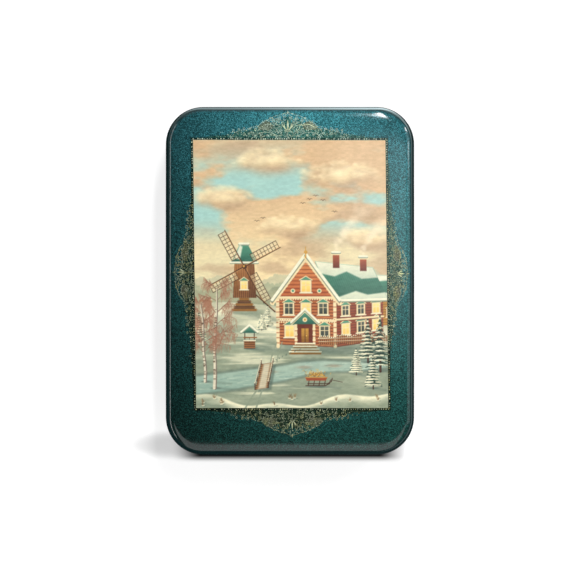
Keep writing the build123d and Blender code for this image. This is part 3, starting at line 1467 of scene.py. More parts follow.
    def rungs(
        self, first: list[Point], last: list[Point], count: int, width: float, colour: Colour,
        share: float = 1.0, inset: float = 0.0,
    ) -> None:
        """A row of lines from one stretch to another, such as boards or planks.

        Args:
            first: Ends of the first line.
            last: Ends of the last line.
            count: How many lines there are.
            width: Their width.
            colour: Their colour.
            share: How well they cover.
            inset: Share of a step that the row stays within its ends.
        """
        for step in range(count):
            far = (step + inset) / (count - 1 + 2 * inset)
            self.line([between(a, b, far) for a, b in zip(first, last)], width, colour, share)


@dataclass(frozen=True)
class Palette:
    """The paints of the winter view, as screen colours."""

    peach: Colour = (218, 188, 152)
    cream: Colour = (248, 231, 188)
    cream_light: Colour = (255, 242, 212)
    dusk: Colour = (186, 158, 132)
    turquoise: Colour = (164, 212, 214)
    haze: Colour = (203, 196, 164)
    smoke: Colour = (244, 232, 208)
    woods_far: Colour = (196, 196, 170)
    woods_near: Colour = (168, 178, 152)
    forest: Colour = (138, 152, 132)
    far_wall: Colour = (186, 140, 104)
    far_roof: Colour = (214, 216, 196)
    far_snow: Colour = (214, 214, 190)
    snow: Colour = (200, 200, 176)
    snow_light: Colour = (242, 241, 216)
    snow_shade: Colour = (142, 156, 138)
    snow_deep: Colour = (94, 114, 106)
    snow_cap: Colour = (240, 240, 222)
    house_ridge_snow: Colour = (206, 218, 200)
    house_eaves_snow: Colour = (214, 224, 206)
    barn_eaves_snow: Colour = (224, 230, 212)
    barn_ridge_snow: Colour = (236, 238, 220)
    mill_snow: Colour = (226, 232, 214)
    deck_snow: Colour = (226, 230, 212)
    ice: Colour = (146, 176, 166)
    ice_far: Colour = (182, 204, 192)
    ice_gleam: Colour = (214, 226, 212)
    ice_crack: Colour = (120, 152, 148)
    ice_red: Colour = (176, 110, 78)
    ice_brown: Colour = (160, 100, 74)
    ice_rust: Colour = (170, 104, 76)
    brick: Colour = (178, 96, 62)
    brick_light: Colour = (214, 142, 92)
    brick_dark: Colour = (112, 56, 40)
    ochre: Colour = (206, 160, 78)
    ochre_dark: Colour = (142, 98, 46)
    carving: Colour = (238, 222, 184)
    roof: Colour = (92, 158, 134)
    roof_dark: Colour = (54, 104, 92)
    umber: Colour = (78, 52, 38)
    soot: Colour = (40, 28, 22)
    lamp: Colour = (250, 206, 112)
    lamp_high: Colour = (255, 230, 160)
    pane: Colour = (62, 70, 66)
    pane_high: Colour = (96, 104, 96)
    trestle: Colour = (166, 122, 76)
    mill_foot: Colour = (120, 78, 48)
    mill_head: Colour = (176, 122, 74)
    mill_board: Colour = (198, 146, 92)
    sailcloth: Colour = (232, 216, 180)
    sunlit_wood: Colour = (206, 160, 110)
    deck: Colour = (150, 108, 70)
    paling: Colour = (176, 128, 82)
    rail: Colour = (140, 96, 60)
    well_log: Colour = (178, 124, 78)
    well_beam: Colour = (150, 104, 64)
    sledge: Colour = (160, 84, 54)
    hay: Colour = (214, 176, 96)
    hay_dark: Colour = (150, 112, 58)
    fir: Colour = (48, 82, 66)
    fir_dark: Colour = (28, 54, 48)
    bark: Colour = (222, 216, 198)
    bark_shade: Colour = (128, 118, 108)
    bough: Colour = (150, 124, 108)
    twig: Colour = (134, 92, 76)
    twig_fine: Colour = (166, 122, 100)
    grass: Colour = (150, 126, 88)
    grass_dark: Colour = (108, 88, 62)


class WinterView(Canvas):
    """A village in the snow: a mill, a carved timber house, a barn, birches and a frozen stream."""

    horizon = 47.0
    house_scale = 1.22
    mill_scale = 1.08

    def __init__(self, cell: float = 0.2, seed: int = 5) -> None:
        """Starts the view on the picture's field.

        Args:
            cell: Distance between two touches of paint.
            seed: Sets the brush's chance.
        """
        super().__init__(78.0, 108.0, cell, seed)
        self.colours = Palette()

    def complete(self) -> Array:
        """Paints everything from the sky forwards.

        Returns:
            The colours of the field, by row and column.
        """
        self._sky()
        self._distance()
        self._snowfields()
        self._mill((20.0, 39.0))
        self._barn((64.5, 33.0))
        self._house((36.0, 24.5))
        self._stream()
        self._bridge()
        self._cast_shadows()
        self._fence()
        self._well((22.0, 24.0))
        self._sledge((49.0, 9.0))
        self._foreground()
        self._brushwork()
        return np.clip(self.paint, 0, 255)

    def _blend(self, low: Colour, high: Colour, share: Array) -> Array:
        """Mixes two colours, by the second's share at each place."""
        return np.array(low) + (np.array(high) - np.array(low)) * np.clip(share, 0, 1)[..., None]

    def _wash(self, share: Array, colour: object) -> None:
        """Lays a colour over the whole field, by its share at each place."""
        self.cover(self.whole, np.broadcast_to(share, self.paint.shape[:2]), colour)

    def _sky(self) -> None:
        """A peach and cream winter sky with gaps of turquoise."""
        c = self.colours
        rise = np.broadcast_to(
            ((self.t - self.horizon) / (self.t[-1] - self.horizon))[:, None], self.paint.shape[:2]
        )
        self.paint[:] = self._blend(c.cream, c.peach, smoothstep(0.0, 0.75, rise))
        form = self.cloud(30.0, 13.0, 5)
        band = smoothstep(0.28, 0.5, rise) * smoothstep(1.02, 0.72, rise)
        gap = smoothstep(0.40, 0.54, form) * (0.15 + 0.85 * band)
        self._wash(gap * 0.92, c.turquoise)
        shade = self.cloud(22.0, 8.0, 5)
        self._wash(smoothstep(0.46, 0.66, shade) * (1 - gap) * 0.6, c.dusk)
        banks = ((11, 83, 14, 15), (60, 92, 17, 18), (38, 72, 12, 12), (70, 67, 13, 14), (30, 98, 15, 12))
        for s, t, reach, count in banks:
            for _ in range(count * 6):
                turn, far = self.chance.uniform(0, math.pi), self.chance.uniform(0.05, 1.0)
                a, b = s + math.cos(turn) * reach * far, t + math.sin(turn) * reach * 0.42 * far
                size = self.chance.uniform(1.6, 5.0) * (1.3 - 0.6 * far)
                self.puff((a + size * 0.2, b - size * 0.45), size * 1.3, size * 0.8, c.dusk, 0.14, 1.0)
                self.puff((a, b), size * 1.1, size * 0.8, c.cream, 0.20, 1.0)
                light = (a - size * 0.2, b + size * 0.3)
                self.puff(light, size * 0.7, size * 0.45, c.cream_light, 0.20, 1.0)
        birds = (
            (47, 84), (49.5, 85.4), (52.4, 83.6), (44.2, 82.4), (25.5, 75.2), (28.0, 76.4), (57.0, 79.0),
        )
        for s, t in birds:
            for hand in (-1, 1):
                wing = [(s, t), (s + 0.5 * hand, t + 0.45), (s + 1.15 * hand, t + 0.2)]
                self.line(wing, 0.22, c.umber, 0.75, 0.1)

    def _distance(self) -> None:
        """Hazy woods and a line of far roofs."""
        c = self.colours
        edge = self.cloud(9.0, 9.0, 5)[int(self.horizon / self.cell)]
        rows = self.t[:, None]
        woods = ((0.0, 9.0, c.woods_far, 0.75), (-2.5, 8.0, c.woods_near, 0.8), (-5.0, 7.0, c.forest, 0.85))
        for base, tall, colour, cover in woods:
            top = self.horizon + base + 1.5 + np.roll(edge, int(abs(base) * 40)) * tall
            ragged = self.cloud(0.9, 30.0, 2)[0] * 1.2
            self._wash(np.clip((top + ragged - rows) / 0.5, 0, 1) * cover, colour)
        mist = smoothstep(self.horizon - 6.5, self.horizon - 3.0, rows)
        mist = mist * smoothstep(self.horizon + 4.0, self.horizon - 2.0, rows)
        self._wash(mist * 0.5, c.haze)
        for s in (36.0, 39.4, 42.0, 44.8, 72.5, 75.4, 1.8, 5.0):
            wide, tall = self.chance.uniform(1.6, 2.6), self.chance.uniform(1.0, 1.6)
            foot = self.horizon - 4.6 + self.chance.uniform(-0.5, 0.5)
            eaves = foot + tall
            self.polygon(oblong((s, foot), (s + wide, eaves)), c.far_wall, 0.8)
            roof = [(s - 0.3, eaves), (s + wide + 0.3, eaves), (s + wide / 2, eaves + tall)]
            self.polygon(roof, c.far_roof, 0.9)

    def _snowfields(self) -> None:
        """Rolling snow from the far edge of the village to the front."""
        c = self.colours
        rows, columns = self.t[:, None], self.s[None, :]
        near = smoothstep(self.horizon - 4.0, 0.0, rows)
        ground = self._blend(c.far_snow, c.snow, np.broadcast_to(near, self.paint.shape[:2]))
        drift = self.cloud(17.0, 3.4, 4)
        ground = ground + (drift[..., None] - 0.5) * np.array((88, 74, 68))
        edge = self.horizon - 5.2 + 1.1 * np.sin(columns / 11.0 + 0.6)
        self._wash(np.clip((edge - rows) / 0.5, 0, 1), ground)
        hill = 30.0 + 10.5 * np.exp(-((columns - 15.0) / 15.0) ** 2)
        light = smoothstep(-9.0, 0.5, rows - hill) + (drift - 0.5) * 0.8
        self._wash(np.clip((hill - rows) / 0.4, 0, 1) * 0.9, self._blend(c.snow_shade, c.snow_light, light))
        crest = self.cloud(24.0, 2.0, 4)
        self._wash(smoothstep(0.58, 0.72, crest) * smoothstep(42.0, 26.0, rows) * 0.6, c.snow_light)
        furrow = self.cloud(30.0, 1.1, 3)
        self._wash(smoothstep(0.56, 0.74, furrow) * smoothstep(42.0, 30.0, rows) * 0.45, c.snow_shade)

    def _ground_shade(self, place: Point, across: float, up: float) -> None:
        """The soft shade under something that stands in the snow."""
        self.puff(place, across, up, self.colours.snow_deep, 0.7, 0.7)

    def _roof(self, points: list[Point]) -> None:
        """Green roof boards, darker at the eaves."""
        self.polygon(points, self.colours.roof_dark, upper=self.colours.roof)

    def _snow_cap(self, points: list[Point], deep: float) -> None:
        """Snow along a line of eaves or a ridge, of the given depth, with a shaded lower edge."""
        self.line(moved(points, 0, -deep * 0.35), deep, self.colours.snow_shade, 0.95)
        self.line(moved(points, 0, deep * 0.05), deep * 0.85, self.colours.snow_cap)

    def _boss(self, place: Point, reach: float, heart_reach: float, rim: Colour, heart: Colour) -> None:
        """A round carved boss.

        Args:
            place: Its middle.
            reach: Its radius.
            heart_reach: Radius of its heart.
            rim: Colour of its rim.
            heart: Colour of its heart.
        """
        self.puff(place, reach, reach, rim, 1.0, 0.3)
        self.puff(place, heart_reach, heart_reach, heart, 1.0, 0.3)

    def _window(self, place: Point, wide: float, tall: float, lit: bool, skew: float = 0.0) -> None:
        """A window with a carved surround.

        Args:
            place: Its lower left corner.
            wide: Its width.
            tall: Its height.
            lit: True where a lamp burns behind it.
            skew: Rise per millimetre on a wall seen aslant.
        """
        c = self.colours

        def wall(a: float, b: float) -> Point:
            """A place on the wall, from the window's corner."""
            return place[0] + a, place[1] + b + skew * a

        def board(a: float, b: float, d: float, e: float) -> list[Point]:
            """Corners of a board on the wall, between two places."""
            return [wall(a, b), wall(d, b), wall(d, e), wall(a, e)]

        low, high = (c.lamp, c.lamp_high) if lit else (c.pane, c.pane_high)
        self.polygon(board(-0.62, -0.55, wide + 0.62, tall + 0.5), c.brick_dark, 0.6)
        self.polygon(board(-0.5, -0.4, wide + 0.5, tall + 0.4), c.carving)
        self.polygon(board(0, 0, wide, tall), low, upper=high)
        self.line([wall(wide / 2, 0), wall(wide / 2, tall)], 0.22, c.carving)
        self.line([wall(0, tall * 0.62), wall(wide, tall * 0.62)], 0.2, c.carving)
        hood = tall + 0.4
        self.polygon([wall(-0.8, hood), wall(wide + 0.8, hood), wall(wide / 2, hood + 1.25)], c.roof)
        left, top = place[0] - 0.8, place[1] + hood
        rim = [(left, top), wall(wide / 2, hood + 1.3), (left + wide + 1.6, top + skew * wide)]
        self.line(rim, 0.26, c.carving)
        sill = place[1] - 0.45
        self.line([(left + 0.1, sill), (left + wide + 1.5, sill + skew * wide)], 0.34, c.snow_light)

    def _logs(self, corners: list[Point], dark: Colour, light: Colour, pitch: float = 0.95) -> None:
        """A log wall.

        Args:
            corners: Its corners, anticlockwise from the lower left.
            dark: Colour of the joints and shadows.
            light: Colour of the logs' upper faces.
            pitch: Height of one log.
        """
        low_left, low_right, high_right, high_left = corners
        self.polygon(corners, tuple((a + b) / 2 for a, b in zip(dark, light)))
        count = int(abs(high_left[1] - low_left[1]) / pitch)
        for step in range(count + 1):
            share = step / max(count, 1)
            joint = [between(low_left, high_left, share), between(low_right, high_right, share)]
            self.line(joint, 0.20, dark, 0.85)
            if step < count:
                tone = self.chance.uniform(-10, 10)
                self.line(moved(joint, 0, pitch * 0.55), 0.34, tuple(v + tone for v in light), 0.75)

    def _house(self, place: Point) -> None:
        """The carved timber house of two storeys, seen a little from its left.

        Args:
            place: The foot of its nearest corner.
        """
        self.stand(place, self.house_scale)
        self.puff((12, -0.4), 27, 2.6, self.colours.snow_deep, 0.55, 0.7)
        self._long_side()
        self._gable_end()
        self._bargeboards((7.5, 29.8))
        self.stand((place[0] + 7.0 * self.house_scale, place[1] - 0.6 * self.house_scale), self.house_scale)
        self._porch()
        self.stand(place, self.house_scale)
        self._chimney((16.5, 26.2), 4.6)
        self._chimney((25.5, 25.2), 4.2)
        self.stand()

    def _long_side(self) -> None:
        """The house's long side and its snowy roof, which go away to the right."""
        c = self.colours
        wall = [(17, 0), (33, 2.4), (33, 16.5), (17, 16.5)]
        self._logs(wall, c.brick_dark, c.brick)
        self.polygon(wall, c.brick_dark, 0.25)
        for step in range(3):
            s = 19.6 + step * 5.1
            self._window((s, 4.3 + 0.15 * step * 5.1), 2.0, 3.2, step % 2 == 0, 0.13)
            self._window((s, 10.6 + 0.09 * step * 5.1), 1.9, 2.9, step == 2, 0.08)
        self.line([(17, 9.0), (33, 10.2)], 0.7, c.carving)
        self.line([(17, 8.6), (33, 9.8)], 0.25, c.brick_dark)
        self._roof([(15.4, 15.6), (34.6, 16.0), (29.8, 26.4), (10.6, 28.4)])
        self.rungs([(15.4, 15.7), (10.6, 28.2)], [(34.6, 16.1), (29.8, 26.2)], 27, 0.16, c.roof_dark, 0.55)
        ridge = [(12.2, 24.4), (17, 23.4), (21, 25.0), (26, 22.6), (31.4, 23.0), (29.8, 26.4), (10.6, 28.4)]
        self.polygon(ridge, c.house_ridge_snow, soft=0.3, upper=c.snow_cap)
        eaves = [(16, 15.8), (34.6, 16.2), (33.8, 18.2), (28, 17.4), (24, 18.6), (20, 17.2)]
        self.polygon(eaves, c.house_eaves_snow, soft=0.3)
        self._snow_cap([(15.4, 15.4), (34.6, 15.9)], 0.9)

    def _gable_end(self) -> None:
        """The house's front with its gable, carved bands and windows."""
        c = self.colours
        left, right, eaves, rise = -2, 17, 16.5, 11.5
        half = (right - left) / 2
        self._logs([(left, 1.0), (right, 0), (right, eaves), (left, eaves)], c.brick_dark, c.brick_light)
        self.polygon([(left, eaves), (right, eaves), (7.5, eaves + rise)], c.brick, upper=c.brick_light)
        for step in range(9):
            board = step * 1.25
            cut = board * half / rise
            joint = [(left + cut, 16.9 + board), (right - cut, 16.9 + board)]
            self.line(joint, 0.2, c.brick_dark, 0.8)
            face = [(left + 0.6 + cut, 17.5 + board), (right - 0.6 - cut, 17.5 + board)]
            self.line(face, 0.3, c.brick_light, 0.6)
        for edge in (left, right):
            self.line([(edge, 0.2), (edge, eaves)], 1.1, c.carving)
            notch = [(edge - 0.45, 1.4), (edge + 0.45, 1.4)]
            self.rungs(notch, moved(notch, 0, 8 * 1.7), 9, 0.26, c.brick, 0.9)
        self.line([(left, 9.2), (right, 8.8)], 0.95, c.carving)
        beads = [left + 0.4 + step * 0.8 for step in range(24)]
        for s in beads:
            self.puff((s, 8.3), 0.3, 0.42, c.carving, 1.0, 0.4)
            self.puff((s, 9.15), 0.16, 0.16, c.brick, 0.9, 0.4)
        self.line([(left, 16.4), (right, 16.4)], 0.8, c.carving)
        for s in beads:
            self.puff((s, 15.8), 0.3, 0.36, c.carving, 1.0, 0.4)
        for step in range(3):
            self._window((0.4 + step * 5.7, 11.0), 2.6, 3.4, step == 1)
        self._window((6.1, 18.4), 2.7, 3.4, True)
        for s in (3.1, 11.9):
            self._boss((s, 18.6), 0.9, 0.5, c.carving, c.roof)
        self._window((0.6, 3.6), 2.6, 3.4, True)
        self._window((12.2, 3.4), 2.6, 3.4, False)

    def _bargeboards(self, ridge: Point) -> None:
        """The carved boards along the gable, with snow on them and a finial at the ridge.

        Args:
            ridge: Where the boards meet.
        """
        c = self.colours
        for far in (-3.8, 18.6):
            foot = (far, 14.6)
            self.line([foot, ridge], 1.5, c.carving)
            self.line([foot, ridge], 0.3, c.brick)
            for step in range(15):
                s, t = between(foot, ridge, (step + 0.5) / 15)
                self.puff((s, t - 0.95), 0.34, 0.44, c.carving, 1.0, 0.4)
            self._snow_cap(moved([foot, ridge], 0, 1.0), 1.1)
        self.line([(ridge[0], ridge[1] - 0.2), (ridge[0], ridge[1] + 3.4)], 0.5, c.ochre, 1.0, 0.2)
        self.puff((ridge[0], ridge[1] + 1.6), 0.7, 0.7, c.ochre, 1.0, 0.3)

    def _chimney(self, place: Point, tall: float) -> None:
        """A chimney with snow on it and smoke over it.

        Args:
            place: Its lower left corner.
            tall: Its height.
        """
        c = self.colours
        s, top = place[0], place[1] + tall
        self.polygon(oblong(place, (s + 2.2, top)), c.brick_dark, upper=c.brick)
        self.line([(s - 0.3, top), (s + 2.5, top)], 0.7, c.carving)
        self._snow_cap([(s - 0.2, top + 0.6), (s + 2.4, top + 0.6)], 0.7)
        puffs = 34
        for step in range(puffs):
            share = step / (puffs - 1)
            a = s + 1.1 + 11 * share**1.5 + self.chance.normal(0, 0.35 + share)
            b = top + 1.2 + 15 * share + self.chance.normal(0, 0.3)
            size = 0.6 + 2.6 * share
            self.puff((a, b), size * 1.2, size, c.smoke, 0.34 * (1 - share) + 0.05, 0.9)

    def _porch(self) -> None:
        """The porch with turned posts, a little gable and snowy steps, from the middle of its step."""
        c = self.colours
        self.polygon(oblong((-3.0, 2.0), (3.0, 8.6)), c.brick_dark)
        self.polygon(oblong((-1.2, 2.2), (1.2, 6.8)), c.ochre_dark, upper=c.ochre)
        self.line([(0, 2.2), (0, 6.8)], 0.2, c.umber)
        self.puff((0.5, 4.4), 0.2, 0.2, c.lamp, 1.0, 0.3)
        for post in (-3.0, 3.0):
            self.line([(post, 1.6), (post, 8.6)], 0.8, c.carving)
            for rise in (3.0, 4.8, 6.6):
                self.puff((post, rise), 0.62, 0.5, c.carving, 1.0, 0.3)
                self.line([(post - 0.4, rise - 0.6), (post + 0.4, rise - 0.6)], 0.2, c.brick)
        self._roof([(-4.4, 8.2), (4.4, 8.2), (0, 12.4)])
        self.line([(-4.4, 8.3), (0, 12.5), (4.4, 8.3)], 0.6, c.carving)
        self._boss((0, 9.7), 0.9, 0.45, c.carving, c.ochre)
        self._snow_cap([(-4.6, 8.8), (0, 13.2), (4.6, 8.8)], 0.8)
        for step in range(4):
            wide, rise = 3.2 + step * 0.7, 1.8 - step * 0.9
            self.polygon(oblong((-wide, rise - 0.9), (wide, rise)), c.ochre_dark)
            self.line([(-wide, rise), (wide, rise)], 0.45, c.snow_light)

    def _barn(self, place: Point) -> None:
        """The ochre barn behind the house.

        Args:
            place: Its lower left corner.
        """
        c = self.colours
        self.stand(place)
        self._logs([(0, 0), (17.5, 0.6), (17.5, 12.0), (0, 12.0)], c.ochre_dark, c.ochre, 1.05)
        self.polygon([(6.5, 0.2), (11.5, 0.4), (11.5, 8.4), (6.5, 8.4)], c.umber, upper=c.ochre_dark)
        self.line([(9, 0.3), (9, 8.4)], 0.25, c.soot)
        for hand in (-1, 1):
            self.line([(9 + 0.3 * hand, 0.8), (9 + 2.3 * hand, 7.8)], 0.35, c.ochre)
        self._window((1.9, 4.0), 2.2, 2.8, True)
        self._window((13.6, 4.0), 2.2, 2.8, False)
        self._roof([(-1.6, 11.4), (18, 11.6), (18, 20.4), (3.0, 20.8)])
        eaves = [(-1.6, 11.4), (18, 11.6), (18, 14.6), (12, 13.2), (6, 15.0), (0.6, 14.4)]
        self.polygon(eaves, c.barn_eaves_snow, soft=0.3)
        ridge = [(2.2, 19.0), (9, 18.0), (18, 18.8), (18, 20.4), (3.0, 20.8)]
        self.polygon(ridge, c.barn_ridge_snow, soft=0.3)
        self._snow_cap([(-1.6, 11.2), (18, 11.4)], 0.8)
        self.stand()

    def _mill(self, place: Point) -> None:
        """The post mill on its hill.

        Args:
            place: The middle of its foot.
        """
        c = self.colours
        self.stand(place, self.mill_scale)
        self.puff((1, -0.2), 10, 1.6, c.snow_shade, 0.8, 0.7)
        for step in range(5):
            wide = 4.6 - step * 0.7
            self.polygon(oblong((-wide, step), (wide, step + 1.0)), c.umber if step % 2 else c.ochre_dark)
            self.line([(-wide - 0.3, step + 0.5), (wide + 0.3, step + 0.5)], 0.3, c.trestle, 0.7)
        self.polygon([(-4.2, 5.0), (4.6, 5.0), (3.9, 18.5), (-3.5, 18.5)], c.mill_foot, upper=c.mill_head)
        joints, boards = [(-4.2, 5.1), (-3.5, 18.4)], [(-3.95, 5.1), (-3.3, 18.4)]
        self.rungs(joints, [(4.6, 5.1), (3.9, 18.4)], 12, 0.18, c.umber, 0.7, 0.5)
        self.rungs(boards, [(4.85, 5.1), (4.1, 18.4)], 12, 0.2, c.mill_board, 0.55, 0.5)
        self.polygon([(1.6, 5.0), (4.6, 5.0), (3.9, 18.5), (1.8, 18.5)], c.umber, 0.35)
        self._roof([(-4.9, 18.0), (5.2, 18.0), (1.6, 25.0), (-1.4, 25.0)])
        self._snow_cap([(-5.0, 18.2), (5.3, 18.2)], 0.7)
        self._snow_cap([(-1.6, 25.2), (1.8, 25.2)], 0.9)
        self.polygon([(-3.6, 19.6), (-1.4, 19.4), (-0.4, 24.0), (-1.4, 24.8)], c.mill_snow, soft=0.3)
        self._window((-1.0, 8.4), 2.0, 2.6, True)
        hub = (0.2, 16.6)
        for arm in range(4):
            self._sail(hub, math.radians(28 + 90 * arm))
        self.puff(hub, 1.0, 1.0, c.umber, 1.0, 0.3)
        self.puff((hub[0] - 0.2, hub[1] + 0.2), 0.5, 0.5, c.ochre, 1.0, 0.4)
        self.line([(4.6, 6.0), (11.5, -0.2)], 0.5, c.umber)
        self.line([(5.0, 6.0), (11.8, -0.1)], 0.2, c.sunlit_wood, 0.7)
        self.stand()

    def _sail(self, hub: Point, angle: float) -> None:
        """One latticed sail of the mill.

        Args:
            hub: The middle of the sails.
            angle: The way that it points.
        """
        c = self.colours
        along, across = (math.cos(angle), math.sin(angle)), (-math.sin(angle), math.cos(angle))
        start, end, wide = 4.0, 15.0, 3.0

        def spot(far: float, out: float) -> Point:
            """A place on the sail, from the hub and from its stock."""
            return hub[0] + along[0] * far + across[0] * out, hub[1] + along[1] * far + across[1] * out

        cloth = [spot(start, 0.3), spot(end, 0.3), spot(end, wide), spot(start, wide)]
        self.polygon(cloth, c.sailcloth, 0.55)
        self.line([spot(0, 0), spot(end + 0.4, 0)], 0.5, c.umber, 1.0, 0.3)
        self.line([spot(start, wide), spot(end, wide)], 0.24, c.umber)
        root, tip = [spot(start, 0), spot(start, wide)], [spot(end, 0), spot(end, wide)]
        self.rungs(root, tip, 9, 0.2, c.umber, 0.9)
        self.line([spot(start, wide / 2), spot(end, wide / 2)], 0.16, c.umber, 0.8)
        self.line([spot(0, 0.25), spot(end + 0.2, 0.2)], 0.2, c.sunlit_wood, 0.8)

    def _stream(self) -> None:
        """The frozen stream, with gleams and cracks in its ice."""
        c = self.colours
        far = [(0, 13.5), (10, 14.6), (22, 16.2), (33, 17.4), (42, 19.0), (52, 19.8), (64, 19.2), (78, 21.6)]
        near = [(0, 5.0), (12, 6.4), (24, 8.6), (36, 10.6), (46, 13.0), (55, 14.2), (66, 14.4), (78, 16.0)]
        self.polygon(far + near[::-1], c.snow_deep, 0.85, soft=0.7)
        inner = moved(far, 0, -0.7) + moved(near, 0, 0.5)[::-1]
        self.polygon(inner, c.ice, 0.95, soft=0.5, upper=c.ice_far)
        for _ in range(70):
            s, share = self.chance.uniform(0, 76), self.chance.uniform(0.12, 0.88)
            low, top = (np.interp(s, *zip(*bank)) for bank in (near, far))
            t = low + (top - low) * share
            wide = self.chance.uniform(1.5, 6.0)
            tone = c.ice_gleam if self.chance.uniform() < 0.55 else c.ice_crack
            self.line([(s, t), (s + wide, t + self.chance.uniform(0.0, 0.7))], 0.3, tone, 0.5, 0.1)
        for s, t, tone in ((30, 14.6, c.ice_red), (44, 16.4, c.ice_brown), (56, 17.0, c.ice_rust)):
            self.puff((s, t), 5.0, 1.1, tone, 0.28, 0.9)

    def _bridge(self) -> None:
        """The snowy plank bridge over the stream."""
        c = self.colours
        deck = [(24.0, 7.4), (29.4, 8.2), (31.4, 18.4), (26.6, 17.6)]
        self.polygon(moved(deck, 1.2, -0.9), c.snow_deep, 0.7, soft=0.4)
        self.polygon(deck, c.deck)
        self.rungs(deck[:2], [deck[3], deck[2]], 13, 0.26, c.umber, 0.75)
        self.polygon([(25.2, 7.6), (28.4, 8.0), (30.4, 18.2), (27.6, 17.8)], c.deck_snow, 0.75, soft=0.5)
        for start, end in ((deck[0], deck[3]), (deck[1], deck[2])):
            for share in (0.0, 0.33, 0.66, 1.0):
                s, t = between(start, end, share)
                top = t + 2.6 - share * 0.8
                self.line([(s, t), (s, top)], 0.4, c.umber)
                self.puff((s, top + 0.2), 0.35, 0.3, c.snow_light, 1.0, 0.4)
            self.line([(start[0], start[1] + 2.3), (end[0], end[1] + 1.6)], 0.4, c.umber)
            self.line([(start[0], start[1] + 2.6), (end[0], end[1] + 1.85)], 0.26, c.snow_light)

    def _cast_shadows(self) -> None:
        """Long soft shadows of a low sun on the left, and the footprints to the porch."""
        c = self.colours
        house = [(36.5, 24.6), (78.0, 25.4), (78.0, 21.6), (62.0, 21.2), (42.0, 22.4)]
        mill = [(16.0, 38.2), (26.0, 38.4), (34.0, 35.6), (33.0, 34.4), (22.0, 36.4)]
        self.polygon(house, c.snow_deep, 0.42, soft=0.9)
        self.polygon(mill, c.snow_deep, 0.40, soft=0.8)
        feet = ((7.6, 8.0, 13.0), (3.8, 10.6, 11.0), (22.6, 24.0, 5.5), (50.0, 8.8, 9.0), (65.4, 13.6, 6.0),
                (72.2, 8.0, 5.4), (29.6, 33.0, 4.5))
        for s, t, reach in feet:
            shade = [(s, t + 0.3), (s + reach, t - 0.5), (s + reach * 0.96, t - 1.3), (s, t - 0.5)]
            self.polygon(shade, c.snow_deep, 0.38, soft=0.5)
        prints = 15
        for step in range(prints):
            share = step / (prints - 1)
            s = 32.4 + 10.6 * share**1.4 + (0.35 if step % 2 else -0.35)
            self.puff((s, 18.8 + 5.0 * share), 0.42, 0.22, c.snow_deep, 0.75, 0.5)

    def _fence(self) -> None:
        """A paling fence before the barn and the house."""
        c = self.colours
        for index in range(34):
            s = 50.4 + index * 0.82
            t = 25.6 + 0.035 * index + 0.35 * math.sin(index * 0.7)
            top = t + 3.0 + self.chance.uniform(-0.2, 0.2)
            self.line([(s + 0.15, t - 0.1), (s + 0.15, top)], 0.5, c.umber, 0.8)
            self.line([(s, t), (s, top)], 0.36, c.paling, 0.95)
            self.puff((s, top + 0.15), 0.26, 0.3, c.snow_light, 1.0, 0.4)
        for rise in (0.9, 2.1):
            rail = [(50.0, 25.6 + rise), (78.0, 26.6 + rise)]
            self.line(rail, 0.3, c.rail, 0.9)
            self.line(moved(rail, 0, 0.25), 0.2, c.snow_light, 0.8)

    def _well(self, place: Point) -> None:
        """A roofed well.

        Args:
            place: The middle of its foot.
        """
        c = self.colours
        self.stand(place)
        self._ground_shade((0.8, 0), 4.4, 0.9)
        self._logs(oblong((-2.2, 0), (2.2, 3.0)), c.umber, c.well_log, 0.75)
        for post in (-1.9, 1.9):
            self.line([(post, 3.0), (post, 6.4)], 0.4, c.umber)
        self.line([(-2.2, 4.4), (2.8, 4.4)], 0.5, c.well_beam)
        self.line([(0, 4.4), (0, 2.6)], 0.16, c.umber)
        self._roof([(-3.2, 6.2), (3.2, 6.2), (0, 9.0)])
        self._snow_cap([(-3.4, 6.6), (0, 9.4), (3.4, 6.6)], 0.9)
        self.line([(-2.3, 3.2), (2.3, 3.2)], 0.5, c.snow_light)
        self.stand()

    def _sledge(self, place: Point) -> None:
        """A sledge with a load of hay.

        Args:
            place: The middle of its runners.
        """
        c = self.colours
        self.stand(place)
        self.puff((0, -0.4), 6.5, 0.8, c.snow_deep, 0.7, 0.7)
        runner = [(-4.4, 0), (3.6, 0), (5.2, 0.8), (5.6, 2.2)]
        for rise in (0.0, 0.8):
            self.line(moved(runner, rise, rise), 0.36, c.umber)
        self.rungs([(-3.4, 0.2), (-3.0, 2.2)], [(3.2, 0.2), (3.6, 2.2)], 4, 0.34, c.umber)
        self.polygon([(-4.0, 2.0), (3.8, 2.0), (4.4, 3.4), (-4.6, 3.4)], c.sledge)
        self.line([(-4.4, 3.3), (4.3, 3.3)], 0.28, c.ochre)
        for _ in range(120):
            s, t = self.chance.normal(-0.2, 1.9), 3.6 + abs(self.chance.normal(0, 0.9))
            lean = self.chance.uniform(-0.9, 0.9)
            tone = c.hay if self.chance.uniform() < 0.6 else c.hay_dark
            self.line([(s, t), (s + lean, t + 0.6)], 0.2, tone, 0.9)
        self.line([(5.8, 2.4), (10.5, 1.4)], 0.22, c.umber)
        self.stand()

